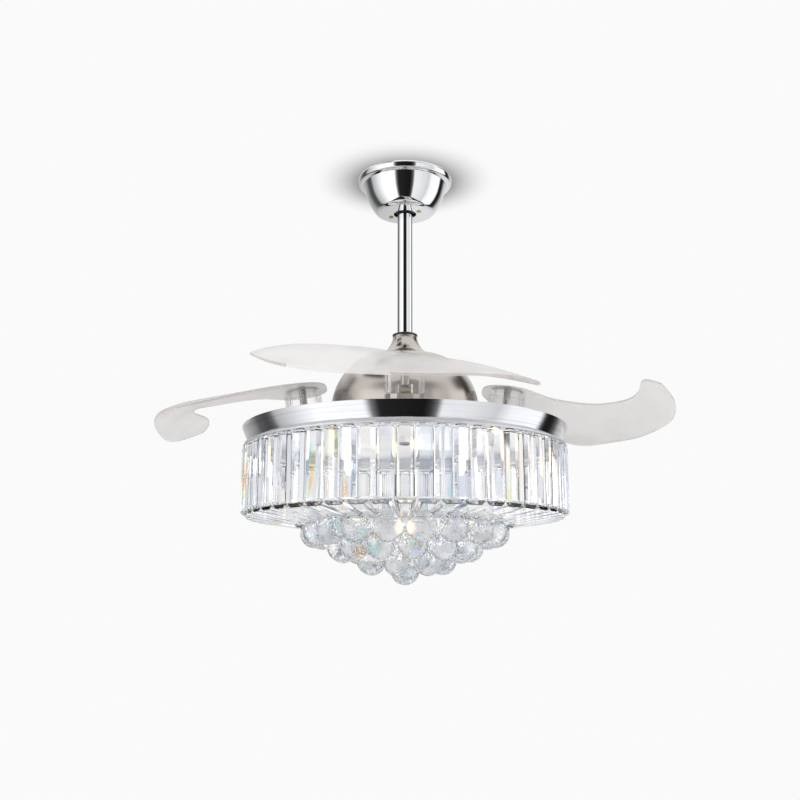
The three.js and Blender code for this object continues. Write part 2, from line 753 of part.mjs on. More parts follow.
// Four screws on one thin plate over the blade's root.
function hubScrews() {
  const foot = BLADE_THICK / 2 + GAP;
  const plate = ring(PIVOT_RADIUS + RUN, HUB_PLATE_RADIUS, foot + HUB_PLATE_THICK, HUB_PLATE_THICK, 16);
  const screws = hubScrewPlaces().map(([x, y]) =>
    turned(
      [
        [0, foot - HUB_SCREW_LENGTH],
        [HUB_SCREW_RADIUS, foot - HUB_SCREW_LENGTH],
        [HUB_SCREW_RADIUS, foot + HUB_PLATE_THICK / 2],
        [HUB_SCREW_HEAD, foot + HUB_PLATE_THICK / 2],
        [0, foot + 2 * HUB_PLATE_THICK],
      ],
      5,
    ).translate(x, y, 0),
  );
  return join(plate, ...screws);
}

// The return spring: a grooved sleeve round the pivot.
function returnSpring() {
  const foot = -PAD_DROP + RUN + GAP;
  const pitch = (SPRING_LENGTH - RUN) / SPRING_TURNS;
  const waist = SPRING_OUTER - pitch / 2;
  const outer = [];
  for (let i = 0; i < SPRING_TURNS; i++) {
    outer.push([waist, foot + i * pitch], [SPRING_OUTER, foot + (i + 0.5) * pitch]);
  }
  const top = foot + SPRING_TURNS * pitch;
  return turned([[SPRING_INNER, foot], ...outer, [waist, top], [SPRING_INNER, top]], 12);
}

function rotorGroup() {
  const group = new THREE.Group();
  add(group, "rotor_spider", rotorSpider(), NICKEL);
  add(group, "magnet_ring", magnetRing(), BLACK);
  around(
    BLADE_COUNT,
    (turn, i) => {
      const seat = new THREE.Group();
      seat.rotation.z = turn;
      const pivot = new THREE.Group();
      pivot.position.set(PIVOT_CIRCLE, 0, BLADE_Z);
      pivot.rotation.y = LEAN;
      seat.add(pivot);
      group.add(seat);
      const n = i + 1;
      add(pivot, "pivot_pin_" + n, pivotPin(), STEEL);
      add(pivot, "return_spring_" + n, returnSpring(), BRASS);
      add(pivot, "blade_" + n, blade(), CLEAR);
      add(pivot, "hub_boss_" + n, hubBoss(), CLEAR);
      add(pivot, "hub_screws_" + n, hubScrews(), BLACK);
    },
    0,
  );
  return group;
}

// Lamp: pan, band, lights, crystal drum, lower ring, tray and the cascade of balls
function bandRadius(z) {
  const share = (BAND_Z - z) / BAND_HEIGHT;
  return BAND_TOP_RADIUS + share * (BAND_BOTTOM_RADIUS - BAND_TOP_RADIUS);
}

function band() {
  return turned(
    [
      [BAND_TOP_RADIUS - BAND_WALL, BAND_Z],
      [BAND_BOTTOM_RADIUS - BAND_WALL, BAND_FOOT_Z],
      [BAND_BOTTOM_RADIUS, BAND_FOOT_Z],
      [BAND_TOP_RADIUS, BAND_Z],
    ],
    48,
  );
}

function pan() {
  const foot = PAN_Z - PAN_THICK;
  return ring(SHAFT_RADIUS + GAP, bandRadius(foot) - BAND_WALL - GAP, PAN_Z, PAN_THICK, 48);
}

function lightBoard() {
  return ring(SHAFT_RADIUS + GAP, BOARD_RADIUS, BOARD_Z, BOARD_THICK, 28);
}

function bulb() {
  const top = BOARD_Z - BOARD_THICK - GAP;
  const foot = top - BULB_LENGTH;
  return turned(
    [
      [0, foot],
      [BULB_RADIUS / 2, foot + BULB_RADIUS / 8],
      [BULB_RADIUS, foot + BULB_RADIUS],
      [BULB_RADIUS, top],
      [0, top],
    ],
    12,
  );
}

function shaftNut() {
  const bore = disc(SHAFT_RADIUS + GAP, NUT_Z + OVERRUN, NUT_HEIGHT + 2 * OVERRUN, 20);
  return cut(disc(NUT_RADIUS, NUT_Z, NUT_HEIGHT, 6), bore);
}

function carrier() {
  return ring(CARRIER_INNER, CARRIER_OUTER, CARRIER_Z, CARRIER_THICK, 40);
}

// Joins rings of points that have the same count into one closed skin.
function skin(rings, firstCap, lastCap) {
  const positions = [];
  const count = rings[0].length;
  for (let k = 0; k + 1 < rings.length; k++) {
    for (let i = 0; i < count; i++) {
      const j = (i + 1) % count;
      const [a, b, c, d] = [rings[k][i], rings[k][j], rings[k + 1][j], rings[k + 1][i]];
      positions.push(...a, ...b, ...c, ...a, ...c, ...d);
    }
  }
  for (const [i, j, k] of firstCap) positions.push(...rings[0][i], ...rings[0][k], ...rings[0][j]);
  const last = rings[rings.length - 1];
  for (const [i, j, k] of lastCap) positions.push(...last[i], ...last[j], ...last[k]);
  const geometry = new THREE.BufferGeometry();
  geometry.setAttribute("position", new THREE.Float32BufferAttribute(positions, 3));
  return geometry;
}

// A bank of prisms with flat fronts and blunt ends, joined by a thin web down their backs.
const TIP_DEPTH_SHARE = 0.45;
const TIP_WIDTH_SHARE = 0.62;
const PRISM_STEP = (2 * Math.PI) / PRISM_COUNT;

function prismBank(bank) {
  const each = PRISM_COUNT / PRISM_BANKS;
  const middle = PRISM_OUTER - PRISM_DEPTH / 2;
  const shoulder = PRISM_OUTER - PRISM_DEPTH / 3;
  const half = PRISM_WIDTH / 2;
  const web = middle * Math.tan(PRISM_STEP / 2);
  const level = (depth, width, z) => {
    const points = [];
    const place = (i, x, y) => {
      const a = (bank * each + i) * PRISM_STEP;
      points.push([x * Math.cos(a) - y * Math.sin(a), x * Math.sin(a) + y * Math.cos(a), z]);
    };
    for (let i = 0; i < each; i++) {
      place(i, middle + (shoulder - middle) * depth, -half * width);
      place(i, middle + (PRISM_OUTER - middle) * depth, (-PRISM_FACE / 2) * width);
      place(i, middle + (PRISM_OUTER - middle) * depth, (PRISM_FACE / 2) * width);
      place(i, middle + (shoulder - middle) * depth, half * width);
      if (i + 1 < each) place(i, middle - RUN, web);
    }
    for (let i = each - 1; i >= 0; i--) {
      place(i, middle - (PRISM_DEPTH / 2) * depth, 0);
      if (i > 0) place(i - 1, middle - 2 * RUN - GAP, web);
    }
    return points;
  };
  const rings = [
    level(TIP_DEPTH_SHARE, TIP_WIDTH_SHARE, PRISM_FOOT_Z),
    level(1, 1, PRISM_FOOT_Z + PRISM_BEVEL),
    level(1, 1, RAIL_Z - PRISM_BEVEL),
    level(TIP_DEPTH_SHARE, TIP_WIDTH_SHARE, RAIL_Z),
  ];
  const outline = rings[0].map(([x, y]) => new THREE.Vector2(x, y));
  const cap = THREE.ShapeUtils.triangulateShape(outline, []);
  return skin(rings, cap, cap);
}

function lowerFrame() {
  const hoop = ring(FRAME_RADIUS - LOWER_RING_WIDTH, FRAME_RADIUS, LOWER_RING_Z, LOWER_RING_THICK, 40);
  const top = CARRIER_Z - CARRIER_THICK - GAP;
  const foot = LOWER_RING_Z - LOWER_RING_THICK / 2;
  const posts = around(
    POST_COUNT,
    (a) => disc(POST_RADIUS, top, top - foot, 8).translate(FRAME_RADIUS - LOWER_RING_WIDTH / 2, 0, 0).rotateZ(a),
    Math.PI / POST_COUNT,
  );
  return join(hoop, ...posts);
}

const BAR_TOP_Z = LOWER_RING_Z - LOWER_RING_THICK - GAP;

// Keeled crystals that lie like spokes under the drum and fall towards the balls, on one thin web.
const BAR_WEB = 1.2;

function lowerCrystals() {
  const step = (2 * Math.PI) / BAR_COUNT;
  const section = (radius, top, close) => {
    const half = (radius * step) / 2 - RUN;
    const across = [
      [-half, top - BAR_WEB],
      [0, top - BAR_THICK],
      [half, top - BAR_WEB],
    ];
    return around(BAR_COUNT, (a) =>
      across.map(([y, z]) => [
        radius * Math.cos(a) - y * Math.sin(a),
        radius * Math.sin(a) + y * Math.cos(a),
        close ? top : z,
      ]),
    ).flat();
  };
  const near = BAR_TOP_Z - BAR_FALL;
  const rings = [
    section(BAR_INNER, near, false),
    section(BAR_OUTER, BAR_TOP_Z, false),
    section(BAR_OUTER, BAR_TOP_Z, true),
    section(BAR_INNER, near, true),
    section(BAR_INNER, near, false),
  ];
  return skin(rings, [], []);
}

// The stepped tray that the balls hang under, on posts from the pan.
function tierTop(tier) {
  return BAND_Z - tier.drop + BALL_SIZE + TIER_RAIL_THICK;
}

function tray() {
  const upper = [];
  let radius = TRAY_EDGE;
  for (const tier of TIERS) {
    const z = tierTop(tier) + GAP;
    upper.push([radius, z], [tier.wall, z]);
    radius = tier.wall;
  }
  const over = upper.map(([r, z], i) => {
    const first = i === 0 || i === upper.length - 1;
    return [first ? r : r - TRAY_THICK, z + TRAY_THICK];
  });
  const shell = turned([...upper.reverse(), ...over], 28);
  const foot = tierTop(TIERS[0]) + GAP + TRAY_THICK / 2;
  const top = BOARD_Z - BOARD_THICK - GAP;
  const posts = around(
    POST_COUNT,
    (a) => disc(POST_RADIUS, top, top - foot, 8).translate(TIERS[0].circle, 0, 0).rotateZ(a),
    Math.PI / 8,
  );
  return join(shell, ...posts);
}

// A faceted ball whose top facets run up into a peak.
const BALL_FACETS = 8;
const BALL_RINGS = 4;

function ball(tier, peak) {
  const profile = [[0, -BALL_SIZE]];
  for (let i = 1; i < BALL_RINGS; i++) {
    const a = (i * Math.PI) / BALL_RINGS;
    profile.push([BALL_SIZE * Math.sin(a), -BALL_SIZE * Math.cos(a)]);
  }
  profile.push([0, peak]);
  return turned(profile, BALL_FACETS).translate(tier.circle, 0, BAND_Z - tier.drop);
}

function ballTier(tier) {
  const top = tierTop(tier);
  const half = TIER_RAIL_WIDTH / 2;
  const count = Math.max(1, Math.floor((2 * Math.PI * tier.circle) / BALL_PITCH));
  const rail = tier.circle
    ? ring(tier.circle - half, tier.circle + half, top, TIER_RAIL_THICK, 2 * count)
    : disc(TIER_RAIL_WIDTH, top, TIER_RAIL_THICK, 12);
  const peak = top - TIER_RAIL_THICK / 2 - (BAND_Z - tier.drop);
  return join(rail, ...around(count, (a) => ball(tier, peak).rotateZ(a)));
}

function lampGroup() {
  const group = new THREE.Group();
  add(group, "chrome_band", band(), BRUSHED);
  add(group, "lamp_pan", pan(), STEEL);
  add(group, "light_board", lightBoard(), WHITE);
  add(group, "shaft_nut", shaftNut(), BRASS);
  const driverX = NUT_RADIUS + OVERRUN + DRIVER_SIZE[0] / 2;
  add(group, "light_driver", box(...DRIVER_SIZE, driverX, 0, BOARD_Z - BOARD_THICK - GAP), WHITE);
  around(
    BULB_COUNT,
    (a, i) => {
      const mesh = add(group, "bulb_" + (i + 1), bulb(), GLOW);
      mesh.position.set(BULB_CIRCLE * Math.cos(a), BULB_CIRCLE * Math.sin(a), 0);
    },
    -Math.PI / 4,
  );
  add(group, "crystal_carrier", carrier(), CHROME);
  for (let i = 0; i < PRISM_BANKS; i++) add(group, "prism_bank_" + (i + 1), prismBank(i), CRYSTAL);
  add(group, "lower_frame", lowerFrame(), CHROME);
  add(group, "lower_crystals", lowerCrystals(), CRYSTAL);
  add(group, "ball_tray", tray(), CHROME);
  for (const tier of TIERS) add(group, "ball_tier_" + tier.name, ballTier(tier), CRYSTAL);
  return group;
}

fan.add(ceilingEnd(), hangingGroup(), rotorGroup(), lampGroup());

export default fan;
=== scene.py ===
"""A ceiling fan with clear folding blades and a crystal drum lamp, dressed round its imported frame."""

import json
import logging
import math
import random
from dataclasses import dataclass
from enum import Enum
from typing import Any, Callable, Iterable, Sequence

import bmesh
import bpy
from mathutils import Matrix, Vector

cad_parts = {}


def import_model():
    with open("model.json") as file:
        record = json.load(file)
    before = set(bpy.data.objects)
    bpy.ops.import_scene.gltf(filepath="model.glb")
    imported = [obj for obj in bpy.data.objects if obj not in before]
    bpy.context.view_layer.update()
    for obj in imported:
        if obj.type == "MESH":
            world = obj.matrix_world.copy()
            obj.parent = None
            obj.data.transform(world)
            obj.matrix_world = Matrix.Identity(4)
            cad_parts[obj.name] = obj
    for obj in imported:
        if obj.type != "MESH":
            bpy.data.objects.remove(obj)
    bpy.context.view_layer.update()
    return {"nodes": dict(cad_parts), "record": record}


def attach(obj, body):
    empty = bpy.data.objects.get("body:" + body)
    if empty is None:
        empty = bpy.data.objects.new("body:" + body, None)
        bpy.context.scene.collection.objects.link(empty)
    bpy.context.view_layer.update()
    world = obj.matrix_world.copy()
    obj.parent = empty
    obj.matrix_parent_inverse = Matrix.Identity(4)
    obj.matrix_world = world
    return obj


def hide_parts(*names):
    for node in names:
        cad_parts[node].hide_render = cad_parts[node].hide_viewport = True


LOG = logging.getLogger("crystal_fan")
SEED = 11
FULL_TURN = 2 * math.pi
MERGE = 1e-6
GAP = 0.0003
SPAN_STEPS = 24

# A Mix node's colour sockets go by number, since its other sockets share their names
MIX_INPUTS = (0, 6, 7)
MIX_RESULT = 2

Point = tuple[float, float]
Window = tuple[Point, Point]
Triple = tuple[float, float, float]
Colour = tuple[float, float, float, float]
Stops = Sequence[tuple[float, Colour]]
Socket = bpy.types.NodeSocket
Inputs = dict[Any, Any] | None


class Body(Enum):
    """The moving groups that a piece can ride on."""

    CEILING = "ceiling"
    HANGING = "hanging"
    BLADE_RIGHT = "blade_right"
    BLADE_BACK = "blade_back"
    BLADE_LEFT = "blade_left"
    BLADE_FRONT = "blade_front"


class Slot(Enum):
    """The record's material slots."""

    CHROME = "chrome"
    BAND = "band_chrome"
    NICKEL = "nickel"
    STEEL = "steel"
    BLACK = "black"
    COPPER = "copper"
    BRASS = "brass"
    WHITE = "white"
    BLADE = "clear_blade"
    CRYSTAL = "crystal"
    LAMP = "lamp"


# Shader expressions
def math_operator(operation: str, swapped: bool = False) -> Callable[["Value", Any], "Value"]:
    """A method of Value that adds a Math node.

    Args:
        operation: the node's operation.
        swapped: whether the other number comes first.

    Returns:
        The method.
    """

    def apply(value: "Value", other: Any) -> "Value":
        """Adds the node."""
        inputs = (other, value) if swapped else (value, other)
        return value.graph.value("ShaderNodeMath", {"operation": operation}, dict(enumerate(inputs)))

    return apply


class Value:
    """A number socket that Python's operators can be used on."""

    SMOOTH = {"interpolation_type": "SMOOTHSTEP", "clamp": True}

    def __init__(self, graph: "Graph", socket: Socket) -> None:
        """Keeps the graph that new nodes go into, and the socket."""
        self.graph = graph
        self.socket = socket

    __add__ = __radd__ = math_operator("ADD")
    __mul__ = __rmul__ = math_operator("MULTIPLY")
    __sub__ = math_operator("SUBTRACT")
    __rsub__ = math_operator("SUBTRACT", True)
    __truediv__ = math_operator("DIVIDE")
    __pow__ = math_operator("POWER")
    angle_from = math_operator("ARCTAN2")

    def between(self, low: float, high: float) -> "Value":
        """How far the value is from low to high, held to 0 and 1."""
        inputs = {"Value": self, "From Min": low, "From Max": high}
        return self.graph.value("ShaderNodeMapRange", self.SMOOTH, inputs)

    def inside(self, window: Window) -> "Value":
        """One inside a window, given by the soft edges where it starts and ends."""
        start, end = window
        return self.between(*start) * (1.0 - self.between(*end))

    def ranged(self, base: float, spread: float) -> "Value":
        """The value times a spread, on top of a base."""
        return base + spread * self


class Graph:
    """A node tree that is filled by one method."""

    def __init__(self, tree: bpy.types.NodeTree) -> None:
        """Empties the tree."""
        self.tree = tree
        tree.nodes.clear()

    def node(self, kind: str, settings: Inputs = None, inputs: Inputs = None) -> bpy.types.Node:
        """Adds a node.

        Args:
            kind: the node's type.
            settings: its properties.
            inputs: numbers, colours, values or sockets by input name or place.

        Returns:
            The new node.
        """
        node = self.tree.nodes.new(kind)
        for key, value in (settings or {}).items():
            setattr(node, key, value)
        for key, value in (inputs or {}).items():
            if isinstance(value, Value):
                value = value.socket
            if isinstance(value, Socket):
                self.tree.links.new(value, node.inputs[key])
            else:
                node.inputs[key].default_value = value
        return node

    def value(self, kind: str, settings: Inputs, inputs: Inputs, out: Any = 0) -> Value:
        """Adds a node and returns one of its outputs as a value."""
        return Value(self, self.node(kind, settings, inputs).outputs[out])

    def ramp(self, at: Value, stops: Stops) -> Socket:
        """A colour that runs through stops.

        Args:
            at: where along the ramp, from 0 to 1.
            stops: (place, colour) pairs in order.

        Returns:
            The colour.
        """
        node = self.node("ShaderNodeValToRGB", None, {0: at})
        elements = node.color_ramp.elements
        while len(elements) > 1:
            elements.remove(elements[-1])
        elements[0].position, elements[0].color = stops[0]
        for place, colour in stops[1:]:
            elements.new(place).color = colour
        return node.outputs[0]

    def place(self, scale: Triple = (1.0, 1.0, 1.0)) -> Socket:
        """The object's own coordinates, in metres times a scale."""
        here = self.node("ShaderNodeTexCoord").outputs["Object"]
        return self.node("ShaderNodeMapping", None, {"Vector": here, "Scale": scale}).outputs[0]

    def noise(self, scale: Triple, detail: float = 2.0) -> Value:
        """Cloudy noise in the object's own coordinates."""
        inputs = {"Vector": self.place(scale), "Scale": 1.0, "Detail": detail}
        return self.value("ShaderNodeTexNoise", None, inputs, "Fac")

    def mix(self, amount: Any, first: Any, second: Any) -> Socket:
        """A blend of two colours."""
        inputs = dict(zip(MIX_INPUTS, (amount, first, second)))
        return self.node("ShaderNodeMix", {"data_type": "RGBA"}, inputs).outputs[MIX_RESULT]

    def bump(self, height: Value, strength: float, distance: float) -> Socket:
        """A normal that follows a height."""
        inputs = {"Height": height, "Strength": strength, "Distance": distance}
        return self.node("ShaderNodeBump", None, inputs).outputs["Normal"]

    def away(self, point: Triple) -> Value:
        """The distance from a point of the object, in metres."""
        inputs = {0: self.place(), 1: point}
        return self.value("ShaderNodeVectorMath", {"operation": "DISTANCE"}, inputs, "Value")

    def near(self, point: Triple, radius: float) -> Value:
        """One at a point of the object, falling to nothing at a radius from it, in metres."""
        return 1.0 - self.away(point).between(0.0, radius)

    def principled(self, inputs: dict[str, Any]) -> Socket:
        """Adds a Principled shader."""
        return self.node("ShaderNodeBsdfPrincipled", None, inputs).outputs[0]

    def clear(self, tint: Colour) -> Socket:
        """Adds a shader that lets light straight through, tinted."""
        return self.node("ShaderNodeBsdfTransparent", None, {"Color": tint}).outputs[0]

    def blend(self, factor: Any, first: Any, second: Any) -> Socket:
        """Mixes two shaders."""
        return self.node("ShaderNodeMixShader", None, {0: factor, 1: first, 2: second}).outputs[0]

    def end(self, shader: Socket) -> None:
        """Sends a shader to the surface."""
        self.node("ShaderNodeOutputMaterial", None, {"Surface": shader})


def grey(level: float) -> Colour:
    """A neutral colour."""
    return (level, level, level, 1.0)


def shaded(colour: Colour, share: float) -> Colour:
    """A colour made darker, or paler up to white."""
    return (*(min(1.0, share * c) for c in colour[:3]), 1.0)


def even(scale: float) -> Triple:
    """The same scale each way."""
    return (scale, scale, scale)


# Finishes
@dataclass(frozen=True)
class Finish:
    """What every finish has."""

    name: str

    def build(self) -> bpy.types.Material:
        """Makes the material.

        Returns:
            The material.
        """
        material = bpy.data.materials.new(self.name)
        material.use_nodes = True
        self.paint(Graph(material.node_tree))
        return material

    def paint(self, g: Graph) -> None:
        """Fills the material's graph."""
        raise NotImplementedError


@dataclass(frozen=True)
class Plating(Finish):
    """Polished or spun metal, with faint smudges, fine turning lines and broader streaks."""

    colour: Colour
    shade: Colour
    roughness: float
    smudge: float
    line_scale: Triple
    line_depth: float
    streak_scale: Triple = (4.0, 4.0, 220.0)
    streak: float = 0.0
    CLOUD_SCALE = 14.0
    CLOUD_DETAIL = 3.0
    CLOUD_EDGES = (0.35, 0.75)
    STREAK_EDGES = (0.44, 0.72)
    STREAK_SHADE = 0.45
    STREAK_RISE = 2.0
    LINE_RISE = 0.0002
    CLOUD_DULL = 0.5
    LINE_DULL = 0.3
    STREAK_DULL = 0.4

    def paint(self, g: Graph) -> None:
        """Fills the material's graph.

        Args:
            g: the empty graph.
        """
        cloud = g.noise(even(self.CLOUD_SCALE), self.CLOUD_DETAIL)
        lines = g.noise(self.line_scale)
        streaks = g.noise(self.streak_scale)
        plain = g.mix(cloud.between(*self.CLOUD_EDGES), self.colour, self.shade)
        amount = self.streak * streaks.between(*self.STREAK_EDGES)
        dull = self.CLOUD_DULL * cloud + self.LINE_DULL * lines + self.STREAK_DULL * streaks
        rise = lines + self.STREAK_RISE * self.streak * streaks
        inputs = {
            "Base Color": g.mix(amount, plain, shaded(self.colour, self.STREAK_SHADE)),
            "Metallic": 1.0,
            "Roughness": self.roughness + self.smudge * dull,
            "Normal": g.bump(rise, self.line_depth, self.LINE_RISE),
        }
        g.end(g.principled(inputs))


@dataclass(frozen=True)
class Moulding(Finish):
    """Moulded or painted plastic with a fine grain, and painted emission where it has some, though it is no
    lamp.
    """

    colour: Colour
    roughness: float
    grain: float = 0.15
    painted_glow: float = 0.0
    GRAIN_SCALE = 900.0
    GRAIN_MIDDLE = 0.5
    GRAIN_DULL = 0.12
    GRAIN_RISE = 0.0002
    CLOUD_SCALE = 20.0
    CLOUD_EDGES = (0.3, 0.7)
    CLOUD_SHADE = 0.82
    PAINTED_GLOW_EDGES = (0.2, 0.8)

    def paint(self, g: Graph) -> None:
        """Fills the material's graph.

        Args:
            g: the empty graph.
        """
        grain = g.noise(even(self.GRAIN_SCALE))
        cloud = g.noise(even(self.CLOUD_SCALE))
        darker = shaded(self.colour, self.CLOUD_SHADE)
        inputs = {
            "Base Color": g.mix(cloud.between(*self.CLOUD_EDGES), self.colour, darker),
            "Roughness": self.roughness + self.GRAIN_DULL * (grain - self.GRAIN_MIDDLE),
            "Normal": g.bump(grain, self.grain, self.GRAIN_RISE),
        }
        # painted emission: the part gives off light though it is no lamp
        if self.painted_glow:
            inputs["Emission Color"] = g.mix(cloud.between(*self.PAINTED_GLOW_EDGES), self.colour, darker)
            inputs["Emission Strength"] = self.painted_glow
        g.end(g.principled(inputs))


@dataclass(frozen=True)
class Film(Finish):
    """Thin clear plastic with a faint haze, darker where it is seen along its face."""

    tint: Colour
    edge: Colour
    haze: Colour
    cover: float
    rim: float = 0.7
    gloss: float = 0.32
    CLOUD_SCALE = 11.0
    FINE_SCALE = 400.0
    WAVE_SCALE = 22.0
    WAVE_STRENGTH = 0.08
    WAVE_RISE = 0.001
    IOR = 1.45
    RIM_POWER = 14.0
    HAZE_EDGES = (0.3, 0.75)
    HAZE_PALER = 1.05
    COVER_RANGE = (0.8, 0.4)
    VEIL_DULL = (0.3, 0.15)
    SHINE_DULL = (0.03, 0.04)

    def paint(self, g: Graph) -> None:
        """Fills the material's graph.

        Args:
            g: the empty graph.
        """
        cloud = g.noise(even(self.CLOUD_SCALE))
        fine = g.noise(even(self.FINE_SCALE), 1.0)
        wave = g.noise(even(self.WAVE_SCALE), 1.0)
        normal = g.bump(wave, self.WAVE_STRENGTH, self.WAVE_RISE)
        along = g.value("ShaderNodeLayerWeight", None, {"Blend": 0.5}, "Facing")
        mirror = g.value("ShaderNodeFresnel", None, {"IOR": self.IOR}, "Fac")
        hazed = g.mix(cloud.between(*self.HAZE_EDGES), self.haze, shaded(self.haze, self.HAZE_PALER))
        veil = g.principled(
            {"Base Color": hazed, "Roughness": fine.ranged(*self.VEIL_DULL), "Normal": normal}
        )
        dull = cloud.ranged(*self.SHINE_DULL)
        shine = g.principled({"Base Color": grey(1.0), "Metallic": 1.0, "Roughness": dull, "Normal": normal})
        through = g.blend(self.rim * along**self.RIM_POWER, g.clear(self.tint), g.clear(self.edge))
        body = g.blend(self.cover * cloud.ranged(*self.COVER_RANGE), through, veil)
        g.end(g.blend(self.gloss * mirror, body, shine))


@dataclass(frozen=True)
class Glint:
    """A painted glint: an amber emission spot painted on the crystals where a lamp shows through them."""

    place: Triple
    radius: float


@dataclass(frozen=True)
class CutGlass(Finish):
    """Lead crystal, with grey and blue casts, painted rainbow streaks standing in for split light, and
    painted amber glint spots.
    """

    streak_scale: Triple
    streak_start: float
    cast: Colour
    cast_scale: Triple
    ior: float
    glints: tuple[Glint, ...]
    painted_glow: float
    # painted rainbow colours standing in for light split by the crystal
    PAINTED_RAINBOW = (
        (0.32, (1.0, 0.42, 0.22, 1.0)),
        (0.42, (1.0, 0.82, 0.30, 1.0)),
        (0.48, (0.62, 1.0, 0.70, 1.0)),
        (0.53, (0.36, 0.86, 1.0, 1.0)),
        (0.60, (0.42, 0.52, 1.0, 1.0)),
        (0.70, (0.85, 0.55, 1.0, 1.0)),
    )
    CLEAR = (0.995, 0.996, 1.0, 1.0)
    AMBER = (1.0, 0.62, 0.22, 1.0)
    PALE_GOLD = (1.0, 0.93, 0.72, 1.0)
    CAST_EDGES = (0.5, 0.62)
    # where a painted glint spot turns from amber to pale gold
    HOT_EDGES = (0.35, 0.8)
    PAINTED_GLINT_EDGES = (0.05, 0.55)
    STREAK_FADE = 0.06
    HUE_SHARE = 1.7
    HUE_SHIFT = 3.0
    SHADOW_LEVEL = 0.92

    def paint(self, g: Graph) -> None:
        """Fills the material's graph.

        Args:
            g: the empty graph.
        """
        where = g.noise(self.streak_scale, 0.0)
        hue = g.noise(tuple(self.HUE_SHARE * s + self.HUE_SHIFT for s in self.streak_scale), 1.0)
        cast = g.noise(self.cast_scale, 1.0)
        # painted rainbow streaks: tinted patches standing in for split light
        painted_rainbow = where.between(self.streak_start, self.streak_start + self.STREAK_FADE)
        clear = g.mix(cast.between(*self.CAST_EDGES), self.CLEAR, self.cast)
        # painted glints: emission spots standing in for lamps seen through the crystals
        painted_glint = sum((g.near(glint.place, glint.radius) for glint in self.glints), 0.0)
        warm = g.mix(painted_glint.between(*self.HOT_EDGES), self.AMBER, self.PALE_GOLD)
        inputs = {
            "Base Color": g.mix(painted_rainbow, clear, g.ramp(hue, self.PAINTED_RAINBOW)),
            "Roughness": 0.0,
            "Transmission Weight": 1.0,
            "IOR": self.ior,
            "Emission Color": g.mix(painted_glint.between(*self.PAINTED_GLINT_EDGES), grey(0.0), warm),
            "Emission Strength": self.painted_glow,
        }
        lamp = g.value("ShaderNodeLightPath", None, None, "Is Shadow Ray")
        g.end(g.blend(lamp, g.principled(inputs), g.clear(grey(self.SHADOW_LEVEL))))


@dataclass(frozen=True)
class Glow(Finish):
    """A lit lamp glass that is hottest in its middle."""

    colour: Colour
    strength: float
    CLOUD_SCALE = 120.0
    HOT = (1.0, 0.92, 0.76, 1.0)
    HOT_EDGES = (0.2, 0.8)
    DULL = (0.3, 0.1)

    def paint(self, g: Graph) -> None:
        """Fills the material's graph.

        Args:
            g: the empty graph.
        """
        cloud = g.noise(even(self.CLOUD_SCALE), 1.0)
        inputs = {
            "Base Color": self.colour,
            "Roughness": cloud.ranged(*self.DULL),
            "Emission Color": g.mix(cloud.between(*self.HOT_EDGES), self.colour, self.HOT),
            "Emission Strength": self.strength,
        }
        g.end(g.principled(inputs))


